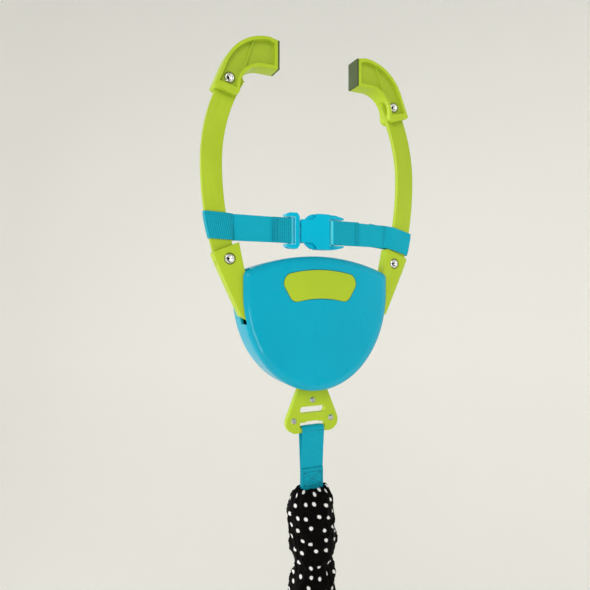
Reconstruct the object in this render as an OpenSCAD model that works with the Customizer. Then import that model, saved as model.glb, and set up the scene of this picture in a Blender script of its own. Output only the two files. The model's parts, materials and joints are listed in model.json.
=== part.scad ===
// Doorway jumper: a sprung clamp that grips a door header, a spring in a cloth
// sleeve, and a padded seat that hangs and bounces below it.
// Frame: millimetres, +Z up, X across the wall, Y along the wall.
// The origin lies midway between the two jaws, level with the top of the door trim.

/* [Clamp] */
// Gap between the jaw faces when the clamp is shut
jaw_gap = 88; // [84:1:92]
// Height of each jaw face
jaw_face_h = 28; // [26:1:29]
// Width of a jaw along the wall
jaw_w = 18; // [18:1:24]
// Thickness of a jaw's outer rim
jaw_rim = 3.2; // [2.4:0.2:4.4]
// Thickness of the rubber foot on a jaw
foot_t = 2; // [1.5:0.25:3]
// Width of a curved arm in the plane of the clamp
arm_w = 20; // [16:1:24]
// Thickness of a curved arm
arm_t = 5; // [3:0.5:6]
// Furthest reach of an arm's centre line from the middle
arm_reach = 110; // [106:1:114]
// Plane of the middle of the arms, ahead of the middle of the housing
arm_y = -9.5; // [-9.5:0.5:-8]
// Thickness of a lever where it holds the arm
lever_t = 12; // [11:0.5:14]
// Height of the lever pivots
pivot_z = -257; // [-260:1:-254]
// Distance of each lever pivot from the middle
pivot_x = 61; // [58:1:62]
// Radius of a lever's pivot pin
pivot_r = 4; // [3:0.5:5]

/* [Housing] */
// Half width of the housing
house_a = 82; // [80:1:88]
// Height of the housing's crown
house_top = -184; // [-186:1:-182]
// Height of the housing's lowest point
house_bottom = -319.5; // [-324:0.5:-316]
// Plane of the housing's front face
house_front = -21; // [-24:1:-20]
// Plane of the housing's back face
house_back = 19; // [17:1:23]
// Plane where the two covers meet
house_split = -16.8; // [-17:0.1:-16.8]
// Wall of the covers
house_wall = 2.5; // [2:0.25:3]

/* [Webbing] */
// Width of all the webbing
web_w = 25; // [20:1:27]
// Thickness of one layer of webbing
web_t = 1.5; // [1:0.25:2]
// Height of the middle of the safety strap
strap_z = -159; // [-162:1:-157]

/* [Hanger] */
// Thickness of each of the two hanger plates
plate_t = 3; // [2:0.5:3.5]
// Height of the bar that the drop strap loops over
bar_z = -361; // [-366:1:-360]
// Radius of that bar
bar_r = 3; // [2.5:0.25:3.5]

/* [Spring] */
// Length of the drop strap from its bar to the spring's link
drop_len = 72; // [64:2:90]
// Mean radius of the bouncing spring's coil
coil_r = 11; // [9:0.5:13]
// Radius of the spring wire
wire_r = 1.7; // [1.2:0.1:2]
// Length of the spring's body
coil_len = 200; // [160:10:240]
// Number of turns in the spring's body
coil_turns = 30; // [20:1:34]
// Inner radius of the spring's sleeve
sleeve_r = 18; // [17:0.5:21]

/* [Seat] */
// Height from the spreader down to the seat's rim
seat_drop = 470; // [380:10:560]
// Half width of the waist band
band_a = 148; // [135:1:160]
// Half depth of the waist band
band_b = 115; // [105:1:125]
// Corner radius of the waist band
band_corner = 80; // [70:1:90]
// Height of the waist band
band_h = 74; // [60:2:90]
// Thickness of the padding in the waist band
band_t = 14; // [10:1:16]
// Depth of the cloth bucket below the waist band
bucket_h = 170; // [150:5:200]
// Thickness of the bucket's padded cloth
bucket_t = 6; // [4:0.5:8]
// Radius of each leg opening
leg_r = 52; // [44:1:56]

/* [Hidden] */
$fn = 64;

green = "yellowgreen";
blue = "deepskyblue";
steel = "silver";
cloth = "dimgray";

gap = 0.3;          // clearance between pieces that don't slide on each other
run_gap = 0.05;     // radial clearance of a pin in its bore
rivet_head = 1.4;   // height of a rivet head on the hanger
eps = 0.1;          // overshoot of a cut past the face it opens

// The clamp's arms, jaws and strap are drawn about the plane of the arms.
module clamp_plane() { translate([0, arm_y, 0]) children(); }

// Shapes drawn in the XZ plane are pushed along Y between two planes.
module push_y(y0, y1) {
    translate([0, y1, 0]) rotate([90, 0, 0]) linear_extrude(y1 - y0) children();
}

// A cylinder along Y between two planes.
module rod_y(x, z, r, y0, y1) {
    translate([x, y1, z]) rotate([90, 0, 0]) cylinder(r = r, h = y1 - y0);
}

// A cylinder along X, centred on the middle.
module rod_x(y, z, r, half) {
    translate([-half, y, z]) rotate([0, 90, 0]) cylinder(r = r, h = 2 * half);
}

// Points round an arc, from one angle to another.
function ring_points(c, r, a0, a1, n) =
    [for (i = [0 : n]) c + r * [cos(a0 + (a1 - a0) * i / n), sin(a0 + (a1 - a0) * i / n)]];

// Two circles joined by their outer tangents, as one outline.
module link_2d(p, rp, q, rq, n = 16) {
    d = q - p;
    base = atan2(d[1], d[0]);
    tilt = acos((rp - rq) / norm(d));
    polygon(concat(ring_points(q, rq, base - tilt, base + tilt, n),
                   ring_points(p, rp, base + tilt, base + 360 - tilt, n)));
}

// A slot with round ends along X.
module slot_2d(half, r) {
    link_2d([-half + r, 0], r, [half - r, 0], r);
}

// ---- curved arms ----
arm_z = -99;            // height where an arm runs straight up
arm_low_r = 300;        // bend of the arm below that height
arm_high_r = 160;       // bend of the arm above it
lever_rivet_z = -189;
jaw_rivet_z = -20;
function arm_x(z) = z < arm_z
    ? arm_reach - arm_low_r + sqrt(pow(arm_low_r, 2) - pow(z - arm_z, 2))
    : arm_reach - arm_high_r + sqrt(pow(arm_high_r, 2) - pow(z - arm_z, 2));

// The arm's outline on the right, grown by a margin. It ends round both rivets.
module arm_2d(grow = 0) {
    half = arm_w / 2 + grow;
    intersection() {
        translate([arm_reach - arm_low_r, arm_z]) difference() {
            circle(arm_low_r + half, $fn = 360);
            circle(arm_low_r - half, $fn = 360);
        }
        translate([0, lever_rivet_z]) square([2 * arm_reach, arm_z - lever_rivet_z]);
    }
    intersection() {
        translate([arm_reach - arm_high_r, arm_z]) difference() {
            circle(arm_high_r + half, $fn = 360);
            circle(arm_high_r - half, $fn = 360);
        }
        translate([0, arm_z]) square([2 * arm_reach, jaw_rivet_z - arm_z]);
    }
    translate([arm_x(lever_rivet_z), lever_rivet_z]) circle(half);
    translate([arm_x(jaw_rivet_z), jaw_rivet_z]) circle(half);
}

rivet_r = 3;            // shank of an arm's rivets
head_r = 4.9;           // head of an arm's rivets
head_h = 2.2;
lever_x = arm_x(lever_rivet_z);
jaw_x = arm_x(jaw_rivet_z);
// The rivets sit a little off the middle of the arm's ends.
lever_rivet = [lever_x - 2.9, lever_rivet_z];
jaw_rivet = [jaw_x + 4.1, jaw_rivet_z];

module arm() {
    color(green) difference() {
        push_y(-arm_t / 2, arm_t / 2) arm_2d();
        for (p = [lever_rivet, jaw_rivet]) rod_y(p[0], p[1], rivet_r + run_gap, -arm_t, arm_t);
    }
}

// A rivet at p with a domed head on each face of what it holds.
module rivet(p, half) {
    rod_y(p[0], p[1], rivet_r, -half - head_h / 2, half + head_h / 2);
    for (side = [-1, 1]) translate([p[0], side * half, p[1]]) rotate([-90 * side, 0, 0])
        rotate_extrude() intersection() {
            translate([0, head_h - dome_r]) circle(dome_r);
            square([head_r, head_h]);
        }
}
dome_r = (pow(head_r, 2) + pow(head_h - 0.6, 2)) / (2 * (head_h - 0.6));

// ---- levers ----
lever_top_out = [lever_x + 11.3, -182.5];
lever_top_in = [lever_x - 11.7, -173.5];
eye_r = 9;              // material round the pivot
tongue_t = 4;           // thickness of the inner arm of a lever
tongue_r = 9;           // half height of that inner arm
tongue_y = 4.2;         // face of that arm beside the hanger
pin_r = 3;              // cross pin of the hanger
pin_slot = 6;           // half length of the slot round the cross pin
head_seat_r = 5.8;      // sunk ring round a rivet head on a lever
head_seat_h = 1;

// Outline of the lever that shows above the housing, on the right.
module lever_blade_2d() {
    polygon([
        lever_top_in, lever_top_out, [lever_x + 12.8, -185], [lever_x + 7.6, -197],
        [house_a, -243], [house_a - 10, -248],
        [pivot_x + eye_r, pivot_z], [pivot_x - eye_r, pivot_z], [62, -230], [72, -213],
        [lever_x - 17.2, -199]
    ]);
    translate([pivot_x, pivot_z]) circle(eye_r);
}

// The right-hand lever, with its inner arm ahead of the hanger or behind it.
function lever_end(tongue_from) = max(arm_y + lever_t / 2, tongue_from + tongue_t);

module lever(tongue_from) {
    half = lever_t / 2;
    color(green) difference() {
        union() {
            push_y(arm_y - half, arm_y + half) lever_blade_2d();
            push_y(tongue_from, tongue_from + tongue_t)
                link_2d([0, pivot_z], tongue_r, [pivot_x, pivot_z], eye_r - 0.01);
            rod_y(pivot_x, pivot_z, eye_r, arm_y - half, lever_end(tongue_from));
        }
        clamp_plane() {
            push_y(-arm_t / 2 - gap, arm_t / 2 + gap) arm_2d(gap);
            rod_y(lever_rivet[0], lever_rivet[1], rivet_r + run_gap, -lever_t, lever_t);
            for (side = [-1, 1])
                translate([lever_rivet[0], side * (half - head_seat_h / 2 + eps / 2), lever_rivet[1]])
                    rotate([90, 0, 0])
                        cylinder(r = head_seat_r, h = head_seat_h + eps, center = true);
        }
        rod_y(pivot_x, pivot_z, pivot_r + run_gap, -40, 40);
        push_y(tongue_from - 1, tongue_from + tongue_t + 1)
            translate([0, pivot_z]) slot_2d(pin_slot + pin_r, pin_r + gap);
    }
}

// ---- jaws ----
face_x = jaw_gap / 2;
throat_r = 24;          // the hollow that clears the door trim
throat = [jaw_x - 28.6, -29.5];
crown_r = 49;           // the rounded outside of a jaw
crown = [jaw_x - 35.1, -24.7];
jaw_low = throat[1] + throat_r; // lower edge of the jaw face
jaw_high = jaw_low + jaw_face_h;
web_half = 4.5;         // half thickness of the web inside a jaw's rim
collar_h = 6;           // thickness of the jaw's lower wall

module jaw_2d(inset = 0) {
    polygon(concat(
        [[face_x + foot_t + inset, jaw_low + inset], [face_x + foot_t + inset, jaw_high - inset],
         [crown[0], crown[1] + crown_r - inset]],
        ring_points(crown, crown_r - inset, 86, 24, 16),
        [[jaw_x + 19.9 - inset, -29.5], [jaw_x + 17.9, -31.5 + inset],
         [jaw_x + 0.9, -37 + inset], [jaw_x - 3.1, -35 + inset]],
        ring_points(throat, throat_r + inset, -6, 90, 16)
    ));
}

// The right-hand jaw: a rimmed shell with a web inside, over the end of its arm.
module jaw() {
    half = jaw_w / 2;
    rib_t = 1.6;
    rib_h = 1.8;
    color(green) difference() {
        union() {
            push_y(-web_half, web_half) jaw_2d();
            difference() {
                push_y(-half, half) jaw_2d();
                push_y(-half - eps, half + eps) intersection() {
                    jaw_2d(jaw_rim);
                    translate([jaw_x - 3.1, -36 + collar_h]) rotate(13)
                        translate([-80, 0]) square([120, 100]);
                }
            }
            for (side = [-1, 1]) push_y(side > 0 ? web_half : -web_half - rib_h,
                                        side > 0 ? web_half + rib_h : -web_half)
                translate([jaw_x - 20.1, 0])
                    polygon([[12.5, -19], [12.5 + rib_t, -19], [rib_t, 18.5], [0, 18.5]]);
        }
        push_y(-arm_t / 2 - gap, arm_t / 2 + gap) arm_2d(gap);
        rod_y(jaw_rivet[0], jaw_rivet[1], rivet_r + run_gap, -jaw_w, jaw_w);
    }
}

// The rubber foot that bears on the wall.
module foot() {
    color("darkolivegreen") translate([face_x, -jaw_w / 2, jaw_low])
        cube([foot_t, jaw_w, jaw_face_h]);
}

module right_side() { clamp_plane() children(); }
module left_side() { mirror([1, 0, 0]) clamp_plane() children(); }

// ---- housing ----
ellipse_z = -221;       // where the sides run straight down
crown_sag = 16;         // rise of the crown over the shoulders
shoulder_r = 8;
edge_r = 6;             // rounding of the covers' outer edges

// Outline of the housing, drawn in by an inset: a bowed top over half an ellipse.
function house_points(inset) = let (
    a = house_a - inset,
    b = ellipse_z - house_bottom - inset,
    top = house_top - inset,
    chord = house_a - 2,
    big = (pow(chord, 2) + pow(crown_sag, 2)) / (2 * crown_sag),
    r = max(shoulder_r - inset, 1),
    cx = a - r,
    cz = top - big + sqrt(pow(big - r, 2) - pow(cx, 2)),
    lean = atan2(cz - (top - big), cx),
    low = [for (i = [0 : 40]) [a * cos(180 + 4.5 * i), ellipse_z + b * sin(180 + 4.5 * i)]],
    right = ring_points([cx, cz], r, 0, lean, 6),
    bow = [for (i = [1 : 23]) let (t = lean + (180 - 2 * lean) * i / 24)
           [big * cos(t), top - big + big * sin(t)]],
    left = [for (i = [6 : -1 : 0]) let (p = right[i]) [-p[0], p[1]]]
) concat(low, right, bow, left);

module house_slab(inset, y0, y1) {
    push_y(y0, y1) polygon(house_points(inset));
}

post_r = 4.5;           // screw posts
screw_r = 1.6;
posts = [[45, -213], [-45, -213], [34, -293], [-34, -293]];
post_meet = -2;         // plane where the posts of the two covers meet
slot_low = -251;        // lower end of a lever's slot in the side wall
slot_in = 70;           // inner end of that slot, over the shoulder
slot_y = arm_y + lever_t / 2 + 1.1;
hanger_slot = 22;       // half width of the slot that the hanger hangs through
hanger_room = plate_t + rivet_head + 2 * gap;
shelf_z = -190;         // the shelf that the return spring bears on
hub_gap = 0.3;

module back_cover() {
    inner = house_back - house_wall;
    color(blue) difference() {
        union() {
            difference() {
                hull() {
                    house_slab(0.8, house_split, house_back - edge_r);
                    house_slab(2.4, house_back - edge_r, house_back - 2);
                    house_slab(edge_r, house_back - 1, house_back);
                }
                hull() {
                    house_slab(0.8 + house_wall, house_split - eps, inner - 4);
                    house_slab(house_wall + 3.2, inner - 1, inner);
                }
            }
            for (p = posts) rod_y(p[0], p[1], post_r, post_meet, inner + 0.5);
            for (side = [-1, 1])
                rod_y(side * pivot_x, pivot_z, eye_r - 1,
                      lever_end(side > 0 ? tongue_y : -tongue_y - tongue_t) + hub_gap,
                      inner + 0.5);
            translate([-11, -9, shelf_z]) cube([22, inner + 9.5, 2.5]);
        }
        for (side = [-1, 1]) {
            translate([side * (slot_in + 20) - 20, house_split - eps, slot_low])
                cube([40, slot_y - house_split + eps, 90]);
            rod_y(side * pivot_x, pivot_z, pivot_r + run_gap, -house_back, inner);
        }
        translate([-hanger_slot, -hanger_room, house_bottom - 2])
            cube([2 * hanger_slot, 2 * hanger_room, 22]);
        for (p = posts) {
            rod_y(p[0], p[1], screw_r + 0.3, post_meet - eps, house_back + eps);
            rod_y(p[0], p[1], 3.4, inner - 1, house_back + eps);
        }
    }
}

badge_w = 84;
badge_h = 33;
badge_t = 1.4;
badge_sink = 0.8;
badge_top = -198;       // top of the badge's arched edge

// The badge: an arched lozenge with round corners.
module badge_2d(grow = 0) {
    bow = 150;
    dip = 110;
    low = badge_top - badge_h + 4.5;
    offset(r = 4.5 + grow) offset(delta = -4.5) polygon(concat(
        [for (i = [-8 : 8]) let (x = i / 8 * (badge_w / 2 - 4))
            [x, badge_top - bow + sqrt(bow * bow - x * x)]],
        [[badge_w / 2, badge_top - 14], [badge_w / 2 - 11, badge_top - badge_h]],
        [for (i = [6 : -1 : -6]) let (x = i / 6 * (badge_w / 2 - 18))
            [x, low - dip + sqrt(dip * dip - x * x)]],
        [[11 - badge_w / 2, badge_top - badge_h], [-badge_w / 2, badge_top - 14]]
    ));
}

module badge_plate() {
    color(green) push_y(house_front + badge_sink - badge_t, house_front + badge_sink)
        badge_2d();
}

module front_cover() {
    inner = house_front + house_wall;
    color(blue) difference() {
        union() {
            difference() {
                hull() {
                    house_slab(0, house_front + 4, house_split);
                    house_slab(0.7, house_front + 2.6, house_front + 4);
                    house_slab(2.4, house_front + 1, house_front + 2.6);
                    house_slab(edge_r, house_front, house_front + 1);
                }
                hull() {
                    house_slab(house_wall + 0.6, inner + 1, house_split + eps);
                    house_slab(house_wall + 2, inner, inner + 1);
                }
            }
            for (p = posts) rod_y(p[0], p[1], post_r, inner - 0.5, post_meet - gap);
            for (side = [-1, 1])
                rod_y(side * pivot_x, pivot_z, eye_r - 1, inner - 0.5,
                      arm_y - lever_t / 2 - hub_gap);
        }
        push_y(house_front - eps, house_front + badge_sink) badge_2d(gap);
        for (p = posts) rod_y(p[0], p[1], screw_r + run_gap, inner + 1, 0);
        for (side = [-1, 1])
            rod_y(side * pivot_x, pivot_z, pivot_r + run_gap, inner, 0);
    }
}

module cover_screws() {
    seat = house_back - house_wall - 1;
    color(steel) for (p = posts) difference() {
        union() {
            rod_y(p[0], p[1], screw_r, house_front + house_wall + 2, seat + 1);
            rod_y(p[0], p[1], 3.1, seat, seat + 2);
        }
        for (turn = [0, 90]) translate([p[0], seat + 2, p[1]]) rotate([0, turn, 0])
            cube([4, 1.2, 0.8], center = true);
    }
}

module pivot_pins() {
    color(steel) for (side = [-1, 1]) rod_y(side * pivot_x, pivot_z, pivot_r,
        house_front + house_wall + gap, house_back - house_wall - gap);
}

// ---- springs: a wire swept through frames, each a point and two directions across it ----
function coil_frames(r, z0, z1, turns, per_turn) = let (n = turns * per_turn)
    [for (i = [0 : n]) let (a = 360 * i / per_turn)
        [[r * cos(a), r * sin(a), z0 + (z1 - z0) * i / n], [cos(a), sin(a), 0], [0, 0, 1]]];

// A hook that leaves the end of a coil and comes round to its middle.
// Facing is 1 for a hook above the coil and -1 for one below it.
hook_turn = 320;
hook_steps = 16;
function hook_frames(r, z, loop_r, facing) =
    [for (i = [1 : hook_steps])
        let (t = facing > 0 ? hook_turn * i / hook_steps
                            : hook_turn * (hook_steps + 1 - i) / hook_steps,
             ease = max(0, cos(min(t, 90) * 2) * 0.5 + 0.5))
        [[r * ease, facing * loop_r * sin(t), z + facing * loop_r * (1 - cos(t))],
         [1, 0, 0], [0, -sin(t), cos(t)]]];

module swept_wire(frames, wire_r, sides = 6) {
    last = len(frames) - 1;
    points = [for (f = frames) for (k = [0 : sides - 1]) let (t = 360 * k / sides)
        f[0] + wire_r * (cos(t) * f[1] + sin(t) * f[2])];
    walls = [for (i = [0 : last - 1]) for (k = [0 : sides - 1])
        let (j = (k + 1) % sides)
        [i * sides + k, (i + 1) * sides + k, (i + 1) * sides + j, i * sides + j]];
    ends = [[for (k = [0 : sides - 1]) k],
            [for (k = [sides - 1 : -1 : 0]) last * sides + k]];
    polyhedron(points, concat(walls, ends), convexity = 10);
}

seat_top = -242;        // top of the cap on the hanger's head
module return_spring() {
    color(steel) swept_wire(coil_frames(6.3, seat_top + 0.9 + gap, shelf_z - 0.9 - gap, 7, 12),
        0.9);
}

// ---- hanger ----
lobe_r = 11;
lobe = [18.5, -352.5];
neck = [12, -319];
shank = 11;             // half width of the part inside the housing
bar_slot = 14.5;        // half length of the two slots
rivet_spots = [[0, -330.6], [21.3, -350.5], [-21.3, -350.5]];
small_r = 2;            // shank of the hanger's rivets

module hanger_2d() {
    difference() {
        union() {
            for (side = [-1, 1])
                link_2d([side * neck[0], neck[1]], 4, [side * lobe[0], lobe[1]], lobe_r);
            polygon([[-neck[0], neck[1] + 4], [neck[0], neck[1] + 4], [lobe[0], lobe[1]],
                     [bar_slot, bar_z + bar_r + 6], [-bar_slot, bar_z + bar_r + 6],
                     [-lobe[0], lobe[1]]]);
            translate([-shank, neck[1]]) square([2 * shank, seat_top - 2.5 - neck[1]]);
        }
        translate([0, -340.2]) slot_2d(bar_slot, 3.4);
        translate([-bar_slot, bar_z - bar_r - 12]) square([2 * bar_slot, bar_r * 2 + 17]);
        for (p = rivet_spots) translate(p) circle(small_r + run_gap);
        translate([0, pivot_z]) circle(pin_r + run_gap);
    }
}

module hanger_plate(y0, y1) {
    color(green) {
        push_y(y0, y1) hanger_2d();
        intersection() {
            rod_x(0, bar_z, bar_r, bar_slot + 4);
            translate([-50, y0, bar_z - 20]) cube([100, y1 - y0, 40]);
        }
    }
}

module hanger_rivets() {
    color(steel) for (p = rivet_spots) {
        rod_y(p[0], p[1], small_r, -plate_t - 0.5, plate_t + 0.5);
        for (side = [-1, 1]) translate([p[0], side * plate_t, p[1]])
            rotate([-90 * side, 0, 0]) cylinder(r1 = 3.2, r2 = 2.2, h = rivet_head);
    }
}

module hanger_pin() {
    half = tongue_y + tongue_t + 1.6;
    color(steel) {
        rod_y(0, pivot_z, pin_r, -half, half);
        for (side = [-1, 1]) rod_y(0, pivot_z, 5, side > 0 ? half - 1.2 : -half,
                                   side > 0 ? half : 1.2 - half);
    }
}

module spring_seat() {
    color(steel) translate([0, 0, seat_top - 2.5]) {
        cylinder(r = 9, h = 2.5);
        cylinder(r = 4.6, h = 9);
    }
}

// ---- safety strap and its buckle ----
buckle_left = -35;
frame_half = 18;        // half height of the buckle
slot_half = 13.4;       // half height of the buckle's webbing slots
male_bar = -29.5;       // bars that the webbing loops over
female_bar = 19.5;
strap_x = arm_x(strap_z);
loop_in = strap_x - 20; // where the two layers of an arm loop come together

// A strap from its loop round the right arm to a loop round a buckle bar.
module safety_strap(bar) {
    low = strap_z - web_w / 2;
    out_y = arm_t / 2 + gap + web_t;
    in_y = arm_t / 2 + gap;
    bar_in = buckle_bar_r + gap;
    color(blue) difference() {
        intersection() {
            union() {
                push_y(-out_y, out_y) arm_2d(gap + web_t);
                translate([0, 0, low]) linear_extrude(web_w) {
                    polygon([[strap_x, out_y], [loop_in + 8, out_y], [loop_in, web_t], [60, web_t],
                             [60, -web_t], [loop_in, -web_t], [loop_in + 8, -out_y],
                             [strap_x, -out_y]]);
                    translate([bar + 12, -web_t / 2]) square([60 - bar - 11, web_t]);
                    link_2d([bar, 0], bar_in + web_t, [bar + 26, 0], web_t);
                }
            }
            translate([0, -30, low]) cube([150, 60, web_w]);
        }
        push_y(-in_y, in_y) arm_2d(gap);
        translate([0, 0, low - eps]) linear_extrude(web_w + 2 * eps) {
            polygon([[strap_x, in_y], [loop_in + 8, in_y], [loop_in + 1, 0.1], [loop_in + 1, -0.1],
                     [loop_in + 8, -in_y], [strap_x, -in_y]]);
            link_2d([bar, 0], bar_in, [bar + 22, 0], 0.2);
        }
    }
}
buckle_bar_r = 1.6;

plate_in = 3.2;         // inside faces of the buckle's two plates
plate_out = 5;
mouth_x = -18.6;        // the female's mouth
mouth_half = 11.5;
wall_x = -1;            // where the female's side walls begin
female_end = 31;

// Outline of the female's plates: a narrow mouth that flares to the full height.
module female_2d() {
    flare = ring_points([wall_x - 8.4, frame_half + 1.9], 8.4, -90, -13, 8);
    polygon(concat([[mouth_x, -mouth_half], [mouth_x, mouth_half]], flare,
        [[wall_x + 2, frame_half], [13, frame_half], [13, -frame_half],
         [wall_x + 2, -frame_half]],
        [for (i = [8 : -1 : 0]) [flare[i][0], -flare[i][1]]]));
}

module buckle_female() {
    color(blue) translate([0, 0, strap_z]) {
        for (side = [-1, 1])
            push_y(side > 0 ? plate_in : -plate_out, side > 0 ? plate_out : -plate_in)
                female_2d();
        for (side = [-1, 1]) {
            push_y(-plate_out, plate_out) translate([wall_x, side > 0 ? 15.5 : -frame_half])
                square([14, frame_half - 15.5]);
            push_y(-3.4, 3.4) polygon([
                [12.5, side * frame_half], [female_end - 9, side * (frame_half - 0.6)],
                [female_end, side * (slot_half + 1.8)], [female_end, side * slot_half],
                [12.5, side * slot_half]]);
        }
        translate([10.5, -plate_out, -frame_half + 1])
            cube([3, 2 * plate_out, 2 * frame_half - 2]);
        translate([female_bar, 0, -slot_half - 1])
            cylinder(r = buckle_bar_r, h = 2 * slot_half + 2);
    }
}

latch_x = -21;          // where a latch bends
latch_z = 8.2;
module buckle_male() {
    color(blue) translate([0, 0, strap_z]) {
        for (side = [-1, 1]) push_y(-3.4, 3.4) polygon([
            [buckle_left, side * slot_half], [buckle_left, side * (frame_half - 2)],
            [buckle_left + 5, side * frame_half], [-22, side * frame_half],
            [-20.6, side * (frame_half - 2)], [-19.4, side * 14.4], [-19.4, side * slot_half]]);
        translate([-24.8, -3.4, -slot_half - 1]) cube([5.4, 6.8, 2 * slot_half + 2]);
        translate([male_bar, 0, -slot_half - 1])
            cylinder(r = buckle_bar_r, h = 2 * slot_half + 2);
        push_y(-2.6, 2.6) polygon([[-20, -3], [4, -1.6], [4, 1.6], [-20, 3]]);
    }
}

// One springy prong of the male, drawn for the upper side.
module latch_2d() {
    polygon(concat(
        [[-19.1, 6.4], [-10, 7.6], [0, 9.6], [7.4, 11]],
        [[8.4, 12.4], [6.4, 14.3], [-1.6, 14.3], [-1.9, 17.2]],
        [for (i = [0 : 6]) let (t = i / 6) [-3.4 - 9.8 * t, 17.6 - 6.6 * t * t]],
        [[-19.1, 9.9]]));
}

module latch(side) {
    color(blue) translate([0, 0, strap_z]) mirror([0, 0, side > 0 ? 0 : 1])
        push_y(-2.7, 2.7) latch_2d();
}

// ---- drop strap, spring link and main spring ----
link_z = bar_z - drop_len;              // bar of the spring's link
link_r = 2;
link_half = 15;
link_h = 20;
hook_r = 9;                             // mean radius of the spring's end hooks
top_hook_z = link_z - link_h + link_r + gap + wire_r - hook_r;
coil_top = top_hook_z - hook_r;          // middle of the wire where the coil ends
coil_end = coil_top - coil_len;
low_hook_z = coil_end - hook_r;

module drop_strap() {
    module loop_2d(r) {
        link_2d([0, bar_z], r + bar_r + gap, [0, bar_z - 16], r + 0.2);
        link_2d([0, link_z], r + link_r + gap, [0, link_z + 12], r + 0.2);
    }
    color(blue) translate([-web_w / 2, 0, 0]) rotate([90, 0, 90]) linear_extrude(web_w)
        difference() {
            union() {
                loop_2d(web_t);
                translate([-web_t, link_z + 8]) square([2 * web_t, drop_len - 16]);
            }
            loop_2d(0);
        }
}

// A wire between two points.
module wire(p, q, r) {
    d = q - p;
    translate(p) rotate([0, acos(d[2] / norm(d)), atan2(d[1], d[0])])
        cylinder(r = r, h = norm(d));
}

module spring_link() {
    corners = [[-link_half, 0, link_z], [link_half, 0, link_z], [link_half, 0, link_z - 7],
               [4, 0, link_z - link_h], [-4, 0, link_z - link_h], [-link_half, 0, link_z - 7]];
    color(steel) for (i = [0 : 5]) {
        wire(corners[i], corners[(i + 1) % 6], link_r);
        translate(corners[i]) sphere(link_r + 0.2);
    }
}

module main_spring() {
    color(steel) swept_wire(concat(
        hook_frames(coil_r, coil_end, hook_r, -1),
        coil_frames(coil_r, coil_end, coil_top, coil_turns, 10),
        hook_frames(coil_r, coil_top, hook_r, 1)), wire_r);
}

// ---- sleeve: a ruched tube of cloth round the spring ----
sleeve_top = link_z + 15;
sleeve_end = low_hook_z - 6;
sleeve_t = 2;
ruche = 5;              // how far the cloth puffs out between its gathers
ruche_len = 78;         // length of cloth from one gather to the next
hem_r = 15.5;           // the elastic hem at each end
hem_h = 10;             // height over which the cloth opens from its hem

function sleeve_open(z) = sleeve_r + sleeve_t
    + ruche * (0.5 - 0.5 * cos(360 * (sleeve_top - z) / ruche_len));
function sleeve_out(z) = hem_r + (sleeve_open(z) - hem_r)
    * min(1, (sleeve_top - z) / hem_h, (z - sleeve_end) / hem_h);

module spring_sleeve() {
    n = 106;
    levels = [for (i = [0 : n]) sleeve_top + (sleeve_end - sleeve_top) * i / n];
    outer = [for (z = levels) [sleeve_out(z), z]];
    inner = [for (i = [n : -1 : 0]) [min(sleeve_r, sleeve_out(levels[i]) - sleeve_t), levels[i]]];
    color(cloth) rotate_extrude() polygon(concat(outer, inner));
}

// ---- swivel ----
eye_hole = 5.5;         // mean radius of the swivel's eye
eye_z = low_hook_z - hook_r + wire_r + gap + 2.2 - eye_hole;
spreader_z = eye_z - 34;                // underside of the spreader
spreader_t = 8;
stem_r = 4;

module swivel_eye() {
    color(steel) {
        translate([0, 0, eye_z]) rotate([90, 0, 0]) rotate_extrude()
            translate([eye_hole, 0]) circle(2.2);
        translate([0, 0, spreader_z - 2.4]) cylinder(r = stem_r,
            h = eye_z - eye_hole - spreader_z + 2);
        translate([0, 0, spreader_z + spreader_t + gap]) cylinder(r1 = 8, r2 = 5, h = 5);
    }
}

module swivel_washer() {
    color(steel) translate([0, 0, spreader_z - 2.6 - gap]) difference() {
        cylinder(r = 9, h = 2.6);
        translate([0, 0, 0.4]) cylinder(r = stem_r + run_gap, h = 3);
    }
}

// ---- spreader and seat straps ----
corner_x = band_a - band_corner;
corner_y = band_b - band_corner;
strap_in = -12;         // where a seat strap passes the spreader, out from its corner line
rim_z = spreader_z - seat_drop;         // top of the waist band

// Places children at one of the four corners, with local X pointing outwards.
module at_corner(sx, sy) {
    translate([sx * corner_x, sy * corner_y, 0])
        rotate([0, 0, sx > 0 ? sy * 45 : 180 - sy * 45]) children();
}

module spreader() {
    lobe_half = [corner_x + strap_in * cos(45), corner_y + strap_in * sin(45)];
    color(green) difference() {
        translate([0, 0, spreader_z]) linear_extrude(spreader_t) union() {
            for (sx = [-1, 1], sy = [-1, 1])
                link_2d([0, 0], 17, [sx * lobe_half[0], sy * lobe_half[1]], 19);
            square([2 * lobe_half[0] - 20, 2 * lobe_half[1] - 4], center = true);
        }
        translate([0, 0, spreader_z - 1]) cylinder(r = stem_r + run_gap, h = spreader_t + 2);
        for (sx = [-1, 1], sy = [-1, 1]) at_corner(sx, sy)
            for (shift = [-4.5, 4.5])
                translate([strap_in + shift - 2, -web_w / 2 - 1, spreader_z - 1])
                    cube([4, web_w + 2, spreader_t + 2]);
    }
}

strap_top = spreader_z + spreader_t;
sew_h = 46;             // length of strap sewn to the waist band
bar_half = 2.5;         // half thickness of the spreader's rim that a strap folds over
lap_z = spreader_z - 40; // where the folded end of a strap is sewn down
lap = [strap_in + 7, strap_in + 10];
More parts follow.
